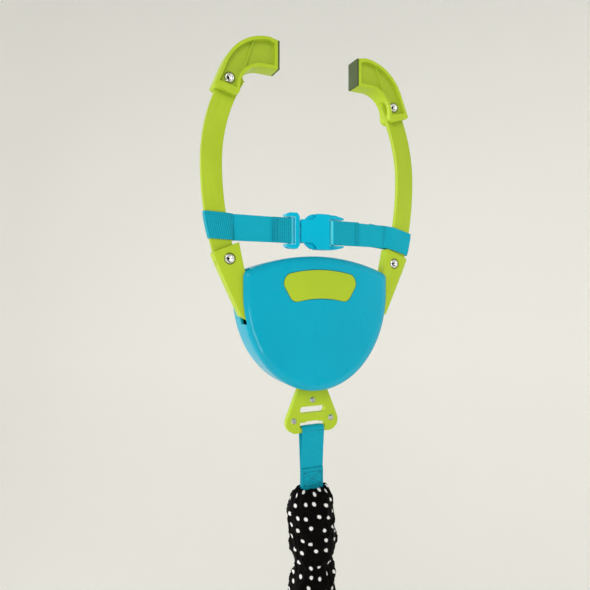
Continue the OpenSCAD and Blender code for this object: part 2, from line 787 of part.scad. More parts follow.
// A seat strap: over the spreader's bar, down and out to the rim, then down the band.
module seat_strap(sx, sy) {
    t = web_t;
    out = band_corner + gap;
    in_x = strap_in - bar_half - gap;
    out_x = strap_in + bar_half + gap;
    color(blue) at_corner(sx, sy) translate([0, web_w / 2, 0]) rotate([90, 0, 0])
        linear_extrude(web_w) {
            difference() {
                polygon([[in_x - t, spreader_z - 14], [in_x - t, strap_top + gap + t],
                         [out_x + t, strap_top + gap + t], [out_x + t, spreader_z - 4],
                         [lap[1], lap_z], [lap[0], lap_z]]);
                polygon([[in_x, spreader_z - 12], [in_x, strap_top + gap],
                         [out_x, strap_top + gap], [out_x, spreader_z - 4],
                         [lap[0] + 0.4, lap_z + 6]]);
            }
            polygon([[lap[0], lap_z], [lap[1], lap_z], [out + t, rim_z - 1],
                     [out + t, rim_z - sew_h], [out, rim_z - sew_h], [out, rim_z - 1]]);
        }
}

// A three-bar slide buckle threaded on each seat strap.
slide_at = 0.34;        // how far down its strap a slide sits, from 0 to 1
slide_size = [6, web_w + 9, 22];
slide_window = 5;       // height of each opening of a slide
slide_bar = 5;          // height of its middle bar
slide_room = 0.6;       // play round the strap inside a slide
module strap_adjusters() {
    top = [(lap[0] + lap[1]) / 2, lap_z];
    low = [band_corner + gap + web_t / 2, rim_z - 1];
    lean = atan2(low[0] - top[0], top[1] - low[1]);
    place = top + slide_at * (low - top);
    inner_w = web_w + 2 * slide_room;
    color(green) for (sx = [-1, 1], sy = [-1, 1]) at_corner(sx, sy)
        translate([place[0], 0, place[1]]) rotate([0, -lean, 0]) difference() {
            cube(slide_size, center = true);
            cube([web_t + 2 * (gap + slide_room), inner_w, slide_size[2] + 2], center = true);
            for (side = [-1, 1]) translate([0, 0, side * (slide_bar + slide_window) / 2])
                cube([slide_size[0] + 2, inner_w, slide_window], center = true);
        }
}

// ---- seat ----
module round_rect(a, b, r) {
    for (sx = [-1, 1], sy = [-1, 1]) translate([sx * (a - r), sy * (b - r)]) circle(r);
    square([2 * a, 2 * (b - r)], center = true);
    square([2 * (a - r), 2 * b], center = true);
}

module waist_band() {
    color(cloth) translate([0, 0, rim_z - band_h]) linear_extrude(band_h) difference() {
        round_rect(band_a, band_b, band_corner);
        round_rect(band_a - band_t, band_b - band_t, band_corner - band_t);
    }
}

tuck = 30;              // how far the bucket reaches up inside the waist band
bucket_z = rim_z - band_h;
bucket_low = bucket_z - bucket_h;
straight_h = 20;        // height below the band before the bucket starts to draw in
// Rings the bucket draws in through: share of its depth, then what its half width,
// its half depth and its corner radius have lost there.
bucket_rings = [[0.65, 22, 16, 14], [0.87, 56, 40, 22], [1, 84, 66, 48]];
module bucket_shape(inset) {
    a = band_a - band_t - gap - inset;
    b = band_b - band_t - gap - inset;
    r = band_corner - band_t - gap - inset;
    hull() {
        translate([0, 0, bucket_z - straight_h]) linear_extrude(straight_h + tuck)
            round_rect(a, b, r, $fn = 32);
        for (ring = bucket_rings) translate([0, 0, bucket_z - ring[0] * bucket_h + inset])
            linear_extrude(1) round_rect(a - ring[1], b - ring[2], r - ring[3], $fn = 32);
    }
}

leg_z = bucket_z - bucket_h / 2 - 1;
leg_y = -14;
module seat_bucket() {
    color(cloth) difference() {
        bucket_shape(0);
        difference() {
            bucket_shape(bucket_t);
            translate([-200, -200, bucket_low - 1]) cube([400, 400, 1]);
        }
        translate([-band_a, -band_b, bucket_z + tuck - 1]) cube([2 * band_a, 2 * band_b, 10]);
        translate([-band_a, leg_y, leg_z]) rotate([0, 90, 0])
            cylinder(r = leg_r, h = 2 * band_a);
    }
}

cuff_r = 6;
cuff_lean = 18;         // the bucket's sides lean in at the leg openings
cuff_in = 26;           // how far in from the bucket's widest a cuff sits
module leg_cuff(side) {
    color("white") translate([side * (band_a - band_t - cuff_in), leg_y, leg_z])
        rotate([0, side * (90 + cuff_lean), 0]) rotate_extrude()
            translate([leg_r - cuff_r - gap, 0]) circle(cuff_r);
}

back_cover();
front_cover();
badge_plate();
cover_screws();
pivot_pins();
return_spring();
mirror([1, 0, 0]) lever(-tongue_y - tongue_t);  // left_lever
left_side() arm();  // left_arm
left_side() jaw();  // left_jaw
left_side() foot();  // left_foot
color(steel) left_side() rivet(lever_rivet, lever_t / 2 - head_seat_h);  // left_lever_rivet
color(steel) left_side() rivet(jaw_rivet, web_half);  // left_jaw_rivet
left_side() safety_strap(-male_bar);  // left_strap
lever(tongue_y);  // right_lever
right_side() arm();  // right_arm
right_side() jaw();  // right_jaw
right_side() foot();  // right_foot
color(steel) right_side() rivet(lever_rivet, lever_t / 2 - head_seat_h);  // right_lever_rivet
color(steel) right_side() rivet(jaw_rivet, web_half);  // right_jaw_rivet
right_side() safety_strap(female_bar);  // right_strap
clamp_plane() buckle_female();
clamp_plane() buckle_male();
clamp_plane() latch(1);  // buckle_latch_upper
clamp_plane() latch(-1);  // buckle_latch_lower
hanger_plate(-plate_t, 0);  // hanger_plate_front
hanger_plate(0, plate_t);  // hanger_plate_back
hanger_rivets();
hanger_pin();
spring_seat();
drop_strap();
spring_link();
main_spring();
spring_sleeve();
swivel_eye();
swivel_washer();
spreader();
seat_strap(-1, -1);  // seat_strap_front_left
seat_strap(1, -1);  // seat_strap_front_right
seat_strap(-1, 1);  // seat_strap_back_left
seat_strap(1, 1);  // seat_strap_back_right
strap_adjusters();
waist_band();
seat_bucket();
leg_cuff(-1);  // leg_cuff_left
leg_cuff(1);  // leg_cuff_right
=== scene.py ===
"""Looks of the doorway jumper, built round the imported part. Metres, in the part's own frame."""

import json
import math

import bmesh
import bpy
import numpy as np
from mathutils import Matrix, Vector, noise
from mathutils.bvhtree import BVHTree


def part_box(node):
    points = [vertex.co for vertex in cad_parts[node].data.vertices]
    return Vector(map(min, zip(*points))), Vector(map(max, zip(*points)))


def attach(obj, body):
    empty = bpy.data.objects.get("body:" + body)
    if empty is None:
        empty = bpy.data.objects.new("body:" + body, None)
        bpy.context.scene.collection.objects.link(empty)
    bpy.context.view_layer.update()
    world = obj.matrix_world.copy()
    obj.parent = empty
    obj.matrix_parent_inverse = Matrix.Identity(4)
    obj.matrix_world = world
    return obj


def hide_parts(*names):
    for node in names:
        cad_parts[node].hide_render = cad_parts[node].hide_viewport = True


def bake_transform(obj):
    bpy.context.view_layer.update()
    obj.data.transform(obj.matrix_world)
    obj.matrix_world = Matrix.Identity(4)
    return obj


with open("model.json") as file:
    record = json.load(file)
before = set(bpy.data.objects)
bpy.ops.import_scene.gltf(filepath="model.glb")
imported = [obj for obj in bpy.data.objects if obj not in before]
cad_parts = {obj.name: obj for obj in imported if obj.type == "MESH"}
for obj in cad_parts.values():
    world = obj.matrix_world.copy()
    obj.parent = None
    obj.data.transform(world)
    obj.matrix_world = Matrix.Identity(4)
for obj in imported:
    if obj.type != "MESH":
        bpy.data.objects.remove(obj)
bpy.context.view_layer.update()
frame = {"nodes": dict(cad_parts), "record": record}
MM = 0.001

# ---- places and sizes that several pieces share ----
FRONT_LOW, FRONT_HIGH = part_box("front_cover")
BACK_LOW, BACK_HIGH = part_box("back_cover")
BADGE_LOW, BADGE_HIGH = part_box("badge_plate")
ARM_LOW, ARM_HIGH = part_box("left_arm")
STRAP_LOW, STRAP_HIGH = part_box("left_strap")
SPRING_LOW, SPRING_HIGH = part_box("main_spring")
SLEEVE_LOW, SLEEVE_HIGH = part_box("spring_sleeve")
SPREADER_LOW, SPREADER_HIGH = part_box("spreader")
BAND_LOW, BAND_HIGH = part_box("waist_band")
BUCKET_LOW, BUCKET_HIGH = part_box("seat_bucket")
ARM_Y = (ARM_LOW.y + ARM_HIGH.y) / 2
ARM_T = ARM_HIGH.y - ARM_LOW.y
GAP = 0.3 * MM          # clearance between pieces
WEB_W = STRAP_HIGH.z - STRAP_LOW.z
WEB_T = 1.5 * MM        # thickness of the webbing

# ---- colours, as linear light ----
TEAL = (0.0, 0.376, 0.539, 1)
CYAN = (0.0, 0.470, 0.680, 1)
WEB_TEAL = (0.0, 0.352, 0.480, 1)
LIME = (0.420, 0.562, 0.031, 1)
PALE = (0.80, 0.79, 0.75, 1)
INK = (0.002, 0.0014, 0.0013, 1)
COTTON = (0.86, 0.85, 0.83, 1)


# ---- materials: texture scales are in waves a metre, bumps in metres ----
SPECULAR = 0.1          # kept low, because the coloured plastics stay deep in a white room


def shade(color, factor):
    return (color[0] * factor, color[1] * factor, color[2] * factor, 1)


class Look:
    """A Principled material that is built up one texture at a time."""

    def __init__(self, name, color, roughness, **sockets):
        self.material = bpy.data.materials.new(name)
        self.material.use_nodes = True
        self.nodes = self.material.node_tree.nodes
        self.links = self.material.node_tree.links
        self.shader = self.nodes["Principled BSDF"]
        self.color = color
        self.normal = None
        for socket, value in (("Base Color", color), ("Roughness", roughness), *sockets.items()):
            self.shader.inputs[socket.replace("_", " ")].default_value = value

    def node(self, kind, settings=None, **inputs):
        """Adds a node; an input has a name or a number, such as i0, and is a value or an output."""
        made = self.nodes.new("ShaderNode" + kind)
        for key, value in (settings or {}).items():
            setattr(made, key, value)
        for socket, value in inputs.items():
            target = made.inputs[int(socket[1:]) if socket[1:].isdigit()
                                 else socket.replace("_", " ")]
            if isinstance(value, bpy.types.NodeSocket):
                self.links.new(value, target)
            else:
                target.default_value = value
        return made

    def math(self, operation, a, b=0.0):
        return self.node("Math", {"operation": operation}, i0=a, i1=b).outputs[0]

    def product(self, a, b):
        return self.math("MULTIPLY", a, b)

    def wave(self, value, scale):
        return self.math("SINE", self.product(value, scale))

    def coordinates(self, output="Object"):
        return self.node("TexCoord").outputs[output]

    def noise(self, scale, detail, output="Object"):
        return self.node("TexNoise", Vector=self.coordinates(output), Scale=scale,
                         Detail=detail).outputs["Fac"]

    def spread(self, value, low, high, start=0.0, end=1.0):
        """Stretches a value from start..end to low..high."""
        return self.node("MapRange", Value=value, From_Min=start, From_Max=end,
                         To_Min=low, To_Max=high).outputs["Result"]

    def patches(self, scale, detail, edge=0.3):
        """Soft patches from 0 to 1; a higher edge makes their borders harder."""
        return self.spread(self.noise(scale, detail), 0, 1, edge, 1 - edge)

    def mix(self, factor, a, b):
        return self.node("Mix", {"data_type": "RGBA"}, i0=factor, i6=a, i7=b).outputs[2]

    def set(self, socket, value):
        self.links.new(value, self.shader.inputs[socket])

    def tint(self, factor, dark, light):
        """Takes the look's own colour from a darker to a lighter shade."""
        self.set("Base Color",
                 self.mix(factor, shade(self.color, dark), shade(self.color, light)))

    def wear(self, marks, low, high):
        """Takes the roughness from low to high with the middle tones of some marks."""
        self.set("Roughness", self.spread(marks, low, high, 0.3, 0.7))

    def bump(self, height, distance):
        """Chains bumps, so that fine grain sits on top of weave or wrinkles."""
        made = self.node("Bump", Height=height, Distance=distance)
        if self.normal is not None:
            self.links.new(self.normal, made.inputs["Normal"])
        self.normal = made.outputs["Normal"]
        self.set("Normal", self.normal)


def moulded(name, color, roughness, grain=0.00002, coat=0.0):
    """Moulded plastic: faint flow marks in the colour, fine orange peel, softly worn gloss."""
    look = Look(name, color, roughness, Specular_IOR_Level=SPECULAR, Coat_Weight=coat,
                Coat_Roughness=0.08)
    look.tint(look.patches(14, 4), 0.94, 1.04)
    look.wear(look.noise(60, 6), roughness - 0.04, roughness + 0.06)
    look.bump(look.noise(900, 3), grain)
    return look.material


def coated_steel(name, color):
    """Powder-coated flat steel: a fine pebbled coat, a little thinner in places."""
    look = Look(name, color, 0.42, Specular_IOR_Level=SPECULAR, Coat_Weight=0.08,
                Coat_Roughness=0.3)
    look.tint(look.patches(25, 5, 0.35), 0.95, 1.03)
    look.wear(look.noise(120, 4), 0.36, 0.5)
    look.bump(look.noise(1500, 2), 0.00003)
    return look.material


def metal(name, color, roughness):
    """Plated steel with fine turning marks."""
    look = Look(name, color, roughness, Metallic=1.0)
    marks = look.noise(220, 8)
    look.tint(look.noise(90, 3), 0.88, 1)
    look.wear(marks, roughness - 0.06, roughness + 0.08)
    look.bump(marks, 0.000003)
    return look.material


def rubber(name, color):
    look = Look(name, color, 0.75)
    look.tint(look.noise(80, 4), 0.8, 1.3)
    look.bump(look.noise(1800, 2), 0.00005)
    return look.material


def webbing(name, color, rib, checks, contrast, groove=0.12):
    """Woven tape: ribs across it every rib metres, broken into checks by grooves along it."""
    look = Look(name, color, 0.62, Specular_IOR_Level=0.15, Sheen_Weight=0.03,
                Sheen_Roughness=0.5)
    split = look.node("SeparateXYZ", Vector=look.coordinates("UV"))
    thread = look.math("ABSOLUTE", look.wave(split.outputs[0], math.pi / checks))
    crown = look.math("ABSOLUTE", look.wave(split.outputs[1], math.pi / rib))
    height = look.product(crown, look.math("POWER", thread, groove))
    # The colour follows the weave: darker in its grooves as painted shade, mixed with random tone.
    groove_shade_and_tone = look.math("ADD", look.product(height, 0.75), look.product(look.noise(160, 4), 0.25))
    look.tint(look.spread(groove_shade_and_tone, 0, 1, 0.1, 0.85), 1 - 0.28 * contrast, 1 + 0.12 * contrast)
    look.set("Roughness", look.spread(height, 0.78, 0.55))
    look.bump(height, 0.00022 * contrast)
    look.bump(look.noise(2500, 2), 0.00004)
    return look.material


def weave_of(look, pitch):
    """Height of a plain weave that needs no UV: crossed ribs in the three planes."""
    split = look.node("SeparateXYZ", Vector=look.coordinates())
    x, y, z = [look.wave(split.outputs[k], math.pi / pitch) for k in range(3)]
    crossed = look.product(look.product(x, y), z)
    return look.math("ADD", crossed, look.product(look.math("ADD", x, z), 0.35))


def cloth(name, color, pitch=0.0007):
    """Plain woven cloth, with slubs and a slightly uneven dye."""
    look = Look(name, color, 0.82, Specular_IOR_Level=0.2, Sheen_Weight=0.08,
                Sheen_Roughness=0.45)
    weave = weave_of(look, pitch)
    dyed = look.mix(look.patches(18, 5), shade(color, 0.86), shade(color, 1.08))
    # The colour follows the weave: lighter on raised threads and darker in hollows, as painted
    # light and shade.
    woven = look.node("VectorMath", {"operation": "SCALE"}, i0=dyed,
                      Scale=look.spread(weave, 0.9, 1.06, -1, 1))
    look.set("Base Color", woven.outputs[0])
    look.bump(weave, 0.00012)
    look.bump(look.noise(700, 3), 0.00008)
    return look.material


def dotted_cloth(name, cell, dot):
    """Black cotton printed with white dots on a loose grid, cell apart and dot in radius."""
    look = Look(name, INK, 0.7, Specular_IOR_Level=0.03)
    grid = look.node("VectorMath", {"operation": "SCALE"}, i0=look.coordinates("UV"),
                     Scale=1 / cell).outputs[0]
    cells = look.node("TexVoronoi", {"voronoi_dimensions": "2D", "feature": "F1"},
                      Vector=grid, Scale=1.0, Randomness=0.55)
    ragged = look.product(look.math("SUBTRACT", look.noise(1400, 2, "UV"), 0.5), 0.05)
    reach = look.math("ADD", cells.outputs["Distance"], ragged)
    printed = look.spread(reach, 1.0, 0.0, dot / cell - 0.025, dot / cell + 0.025)
    weave = weave_of(look, 0.0006)
    # Ink and white both follow the weave: lighter on raised threads and darker in hollows, as
    # painted light and shade.
    raised = look.spread(weave, 0, 1, -1, 1)
    ink = look.mix(raised, shade(INK, 0.6), shade(INK, 1.6))
    white = look.mix(raised, shade(COTTON, 0.85), COTTON)
    look.set("Base Color", look.mix(printed, ink, white))
    look.set("Roughness", look.spread(printed, 0.62, 0.8))
    look.bump(weave, 0.0001)
    look.bump(look.noise(500, 3), 0.00015)
    return look.material


LOOKS = {
    "housing": moulded("housing_plastic", TEAL, 0.3, coat=0.28),
    "lime": moulded("lime_plastic", LIME, 0.34, coat=0.05),
    # A rougher lime for recesses, darker as painted shade.
    "lime_rough_shaded": moulded("lime_rough_shaded_plastic", (0.355, 0.475, 0.034, 1), 0.6, grain=0.00008),
    "lime_matte": moulded("lime_matte_plastic", LIME, 0.58, grain=0.00006),
    "badge": moulded("badge_plastic", shade(LIME, 0.98), 0.45),
    "buckle": moulded("buckle_plastic", CYAN, 0.33, coat=0.05),
    # A lighter cyan for the buckles' rounded edges: a painted highlight.
    "buckle_edge_highlight": moulded("buckle_highlight_plastic", (0.20, 0.71, 0.83, 1), 0.3, coat=0.2),
    "arm": coated_steel("arm_coating", shade(LIME, 0.95)),
    "plate": coated_steel("plate_coating", shade(LIME, 0.98)),
    "steel": metal("steel", (0.78, 0.78, 0.76, 1), 0.24),
    # Dark steel for the rivets' pits and a dark olive ring round their heads: both painted shade.
    "pit_shade": metal("pit_shade_steel", (0.06, 0.06, 0.055, 1), 0.5),
    "ring_shade": moulded("ring_painted_shade", (0.15, 0.19, 0.03, 1), 0.6),
    "wire": metal("spring_wire", (0.55, 0.56, 0.57, 1), 0.35),
    "rubber": rubber("foot_rubber", (0.05, 0.075, 0.02, 1)),
    "webbing": webbing("webbing_plain", shade(WEB_TEAL, 1.14), 1.0 * MM, 1.9 * MM, 0.8),
    "hanging": webbing("webbing_hanging", shade(WEB_TEAL, 1.04), 1.9 * MM, 2.4 * MM, 1.0, 0.4),
    "doubled": webbing("webbing_doubled", WEB_TEAL, 2.0 * MM, 2.0 * MM, 1.3, 0.5),
    "folded": webbing("webbing_folded", shade(WEB_TEAL, 1.04), 1.5 * MM, 1.6 * MM, 0.9, 0.3),
    # A lighter cyan for a band at the fold's crest: a painted highlight.
    "crest_highlight": webbing("webbing_fold_highlight", (0.10, 0.70, 0.80, 1), 1.0 * MM, 1.9 * MM, 0.6),
    "thread": cloth("thread", (0.0, 0.20, 0.28, 1), 0.0004),
    "dotted": dotted_cloth("dotted_cloth", 12.6 * MM, 1.98 * MM),
    "seat": cloth("seat_cloth", WEB_TEAL),
    "cuff": cloth("cuff_cloth", LIME, 0.0006),
}


# ---- paths ----
FILLET_STEPS = 6


def up(z):
    return Vector((0, 0, z))


def circle(count):
    """Angles evenly round a circle."""
    return [2 * math.pi * k / count for k in range(count)]


def fillet(corners):
    """Rounds a polyline: each corner is a point and how far its curve cuts back, or 0."""
    made = []
    for i, (corner, cut_back) in enumerate(corners):
        if cut_back == 0:
            made.append(corner)
            continue
        before, after = corners[i - 1][0], corners[(i + 1) % len(corners)][0]
        p = corner + (before - corner).normalized() * cut_back
        q = corner + (after - corner).normalized() * cut_back
        for k in range(FILLET_STEPS + 1):
            t = k / FILLET_STEPS
            made.append(p * (1 - t) ** 2 + corner * 2 * t * (1 - t) + q * t * t)
    return made


def refined(path, step):
    """The same polyline with points at most step apart."""
    made = [path[0]]
    for a, b in zip(path, path[1:]):
        parts = max(1, math.ceil((b - a).length / step))
        made += [a.lerp(b, (k + 1) / parts) for k in range(parts)]
    return made


def path_length(path):
    return sum((b - a).length for a, b in zip(path, path[1:]))


def along_path(path, distance):
    """The point at a distance along a polyline."""
    for a, b in zip(path, path[1:]):
        step = (b - a).length
        if distance <= step:
            return a.lerp(b, distance / step if step else 0)
        distance -= step
    return path[-1].copy()


def square_to(axis):
    """A direction at right angles to an axis."""
    seed = up(1) if abs(axis.z) < 0.9 else Vector((1, 0, 0))
    return axis.cross(seed).normalized()


# ---- mesh making ----
SELVEDGE = 0.22         # half thickness of a tape's edges, as a share of its thickness
TAPE_ROWS = 7
STITCH_SIDES = 6
STITCH = ((0, 0.45), (0.2, 1), (0.8, 1), (1, 0.45))     # (way along it, share of its radius)
BEVEL_SEGMENTS = 3
BENT = math.radians(32)         # edges that turn by more are rounded
ROD_SIDES = 32


def placed(name, data):
    """An object in the scene for a mesh, a light or a camera."""
    made = bpy.data.objects.new(name, data)
    bpy.context.scene.collection.objects.link(made)
    return made


def piece(name, points, faces, look, body=None, uv=None, sharp=None):
    """A mesh object. uv gives each point its (u, v), and edges that turn by more than sharp
    degrees stay sharp."""
    mesh = bpy.data.meshes.new(name)
    mesh.from_pydata([tuple(p) for p in points], [], faces)
    mesh.materials.append(LOOKS[look])
    mesh.shade_smooth()
    if uv is not None:
        layer = mesh.uv_layers.new(name="UVMap")
        corners = [uv[loop.vertex_index] for loop in mesh.loops]
        layer.data.foreach_set("uv", np.array(corners, float).ravel())
    if sharp is not None:
        mesh.set_sharp_from_angle(angle=math.radians(sharp))
    made = placed(name, mesh)
    mesh.validate()
    if body:
        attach(made, body)
    return made


def baked(made):
    """Applies a piece's modifiers, so that its mesh is the final shape."""
    bpy.context.view_layer.update()
    graph = bpy.context.evaluated_depsgraph_get()
    mesh = bpy.data.meshes.new_from_object(made.evaluated_get(graph))
    made.modifiers.clear()
    made.data = mesh
    return made


def turned_out(made, weld=0.0):
    """Faces turned to look outwards, once points closer than weld are joined."""
    work = bmesh.new()
    work.from_mesh(made.data)
    if weld:
        bmesh.ops.remove_doubles(work, verts=work.verts, dist=weld)
    bmesh.ops.recalc_face_normals(work, faces=work.faces)
    work.to_mesh(made.data)
    work.free()
    return made


def thickened(sheet, thickness):
    """Gives a sheet its thickness, inwards."""
    step = sheet.modifiers.new("cloth", "SOLIDIFY")
    step.thickness = thickness
    step.offset = -1
    baked(sheet)
    sheet.data.shade_smooth()


def band_faces(rings, count, closed_rings=False):
    """Quads between rings of count points each, every ring closed."""
    faces = []
    for i in range(rings if closed_rings else rings - 1):
        a, b = i * count, ((i + 1) % rings) * count
        for k in range(count):
            j = (k + 1) % count
            faces.append((a + k, a + j, b + j, b + k))
    return faces


def capped(rings, count):
    """The quads between rings, and a face over the first and the last ring."""
    last = (rings - 1) * count
    return band_faces(rings, count) + [tuple(range(count))[::-1],
                                       tuple(range(last, last + count))]


def shifted(faces, base):
    return [tuple(base + v for v in face) for face in faces]


def lofted(name, rings, look, body=None, sharp=None):
    """A solid through closed rings with the same number of points."""
    points = [p for ring in rings for p in ring]
    faces = capped(len(rings), len(rings[0]))
    return turned_out(piece(name, points, faces, look, body, sharp=sharp))


def ribbon(name, rows, look, body, closed=False):
    """Tape through rows of points: one row per line of thread along it, with soft selvedges."""
    grid = np.array([[tuple(p) for p in row] for row in rows], float)
    count, length = grid.shape[:2]
    ahead = np.roll(grid, -1, 1) if closed else np.concatenate([grid[:, 1:], grid[:, -1:]], 1)
    behind = np.roll(grid, 1, 1) if closed else np.concatenate([grid[:, :1], grid[:, :-1]], 1)
    normal = np.cross(ahead - behind, np.gradient(grid, axis=0))
    normal /= np.linalg.norm(normal, axis=2)[:, :, None]
    profile = np.full(count, 0.5)
    profile[[0, -1]] = SELVEDGE
    offset = normal * (profile * WEB_T)[:, None, None]
    rings = np.concatenate([grid + offset, (grid - offset)[::-1]], 0).transpose(1, 0, 2)
    steps = np.linalg.norm(np.diff(grid[count // 2], axis=0), axis=1)
    run = np.concatenate([[0], np.cumsum(steps)])
    u = np.linspace(0, np.linalg.norm(grid[-1, 0] - grid[0, 0]), count)
    uv = [(a, v) for v in run for a in (*u, *u[::-1])]
    faces = band_faces(length, 2 * count, True) if closed else capped(length, 2 * count)
    return turned_out(piece(name, rings.reshape(-1, 3), faces, look, body, uv=uv, sharp=50))


def straight_rows(path, across, width):
    """Rows for a ribbon whose width always points along across."""
    shifts = np.linspace(-width / 2, width / 2, TAPE_ROWS)
    return [[p + across * float(s) for p in path] for s in shifts]


def tube(name, path, radius, look, sides, body=None, closed=False):
    """A round tube along a path; radius is a number or one number per point."""
    count = len(path)
    radii = radius if hasattr(radius, "__len__") else [radius] * count
    points, normal = [], None
    for i, p in enumerate(path):
        after = path[(i + 1) % count] if closed or i < count - 1 else p
        before = path[i - 1] if closed or i > 0 else p
        tangent = (after - before).normalized()
        if normal is None:
            normal = square_to(tangent)
        normal = (normal - tangent * normal.dot(tangent)).normalized()
        other = tangent.cross(normal)
        points += [p + (normal * math.cos(t) + other * math.sin(t)) * radii[i]
                   for t in circle(sides)]
    lengths = [0.0]
    for a, b in zip(path, path[1:]):
        lengths.append(lengths[-1] + (b - a).length)
    uv = [(radii[i] * t, lengths[i]) for i in range(count) for t in circle(sides)]
    faces = band_faces(count, sides, True) if closed else capped(count, sides)
    return turned_out(piece(name, points, faces, look, body, uv=uv))


def sewn(name, lines, body, length, gap, radius, look="thread"):
    """Rows of stitches: short threads laid along each line."""
    points, faces = [], []
    for line in lines:
        path = [Vector(p) for p in line]
        total = path_length(path)
        number = max(1, int((total + gap) / (length + gap)))
        pitch = total / number
        for s in range(number):
            a = along_path(path, s * pitch + gap / 2)
            b = along_path(path, (s + 1) * pitch - gap / 2)
            axis = (b - a).normalized()
            side = square_to(axis)
            other = axis.cross(side)
            faces += shifted(capped(len(STITCH), STITCH_SIDES), len(points))
            points += [a.lerp(b, t) + (side * math.cos(turn) + other * math.sin(turn)) * radius * r
                       for t, r in STITCH for turn in circle(STITCH_SIDES)]
    return turned_out(piece(name, points, faces, look, body))


def crossed_box(x, z0, z1):
    """The seam that holds a lap of tape: a box with a cross, in lines of (across, height)."""
    a, b, c, d = (-x, z0), (x, z0), (x, z1), (-x, z1)
    return [(a, b), (b, c), (c, d), (d, a), (a, c), (b, d)]


def second_look(made, look, chosen):
    """The faces that a test picks take another material."""
    made.data.materials.append(LOOKS[look])
    for face in made.data.polygons:
        if chosen(face):
            face.material_index = len(made.data.materials) - 1


def body_of(node):
    return next(body for body, members in frame["record"]["behaviour"]["bodies"].items()
                if node in members)


def softened(node, look, radius, edge=None, least=0.0):
    """Stands for a rigid CAD node with the same shape, its edges rounded as moulded or rolled.
    edge names the look of the rounded edges, a lighter one as a painted highlight. Edges
    shorter than least stay sharp."""
    mesh = bpy.data.meshes.new(node + "_body")
    work = bmesh.new()
    work.from_mesh(frame["nodes"][node].data)
    bmesh.ops.remove_doubles(work, verts=work.verts, dist=2e-6)
    bmesh.ops.dissolve_limit(work, angle_limit=math.radians(0.6), verts=work.verts,
                             edges=work.edges)
    weight = work.edges.layers.float.new("bevel_weight_edge")
    for side in work.edges:
        bent = len(side.link_faces) == 2 and side.calc_face_angle() > BENT
        side[weight] = 1.0 if bent and side.calc_length() > least else 0.0
    work.to_mesh(mesh)
    work.free()
    mesh.materials.clear()
    mesh.materials.append(LOOKS[look])
    made = placed(node + "_body", mesh)
    round_edges = made.modifiers.new("round", "BEVEL")
    round_edges.width = radius
    round_edges.segments = BEVEL_SEGMENTS
    round_edges.limit_method = "WEIGHT"
    round_edges.use_clamp_overlap = True
    if edge:
        mesh.materials.append(LOOKS[edge])
        round_edges.material = 1
    baked(made)
    made.data.shade_smooth()
    made.data.set_sharp_from_angle(angle=math.radians(35))
    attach(made, body_of(node))
    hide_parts(node)
    return made


def dressed(node, look):
    """A CAD node whose shape is right keeps its mesh and takes a finer material."""
    materials = frame["nodes"][node].data.materials
    materials.clear()
    materials.append(LOOKS[look])


def cut(made, cutters):
    """Cuts other meshes out of a piece, then removes them."""
    for tool in cutters:
        step = made.modifiers.new("cut", "BOOLEAN")
        step.operation = "DIFFERENCE"
        step.solver = "EXACT"
        step.object = tool
    baked(made)
    for tool in cutters:
        bpy.data.objects.remove(tool)
    return made


def block(low, high):
    """A plain block to cut with."""
    points = [(x, y, z) for x in (low[0], high[0]) for y in (low[1], high[1])
              for z in (low[2], high[2])]
    faces = [(0, 1, 3, 2), (4, 6, 7, 5), (0, 4, 5, 1), (2, 3, 7, 6), (0, 2, 6, 4), (1, 5, 7, 3)]
    return turned_out(piece("cutter", points, faces, "housing"))


def slab(outline, y0, y1):
    """A slab to cut with, between two planes across Y."""
    return lofted("cutter", [[(p.x, y, p.z) for p in outline] for y in (y0, y1)], "housing")


def rod(x, z, radius, y0, y1):
    """A round rod along Y to cut with."""
    return slab([Vector((x + radius * math.cos(t), 0, z + radius * math.sin(t)))
                 for t in circle(ROD_SIDES)], y0, y1)


# ---- camera, light and stage ----
SENSOR_W, LENS = 36, 32.89      # in millimetres, as a camera's are
CAMERA_AT = (-0.2572, -0.4932, -0.2229)
CAMERA_AIM = Vector((0.4352, 0.9003, 0))
DIM_SIDE = (-0.1, -0.995, 0)    # the part of the cove that is kept dim
DIM_TURN = (0.55, 0.85)         # where the dimness starts and is full, as a cosine from it
DIM_REACH = 1.9                 # and how far out it starts
FLOOR_Z, WALL_Z = -1.75, 3.2
FLOOR_R, CURVE_R = 2.0, 1.1
CURVE_STEPS, COVE_SIDES = 24, 96


def turned_to(made, toward):
    made.rotation_euler = toward.to_track_quat("-Z", "Y").to_euler()


def make_camera():
    data = bpy.data.cameras.new("camera")
    data.sensor_width = SENSOR_W
    data.lens = LENS
    data.clip_start = 0.02
    camera = placed("camera", data)
    camera.location = CAMERA_AT
    turned_to(camera, CAMERA_AIM)
    bpy.context.scene.camera = camera


def make_light(name, place, aim, size, power):
    data = bpy.data.lights.new(name, "AREA")
    data.shape = "RECTANGLE"
    data.size, data.size_y = size
    data.energy = power
    lamp = placed(name, data)
    lamp.location = place
    turned_to(lamp, Vector(aim) - Vector(place))


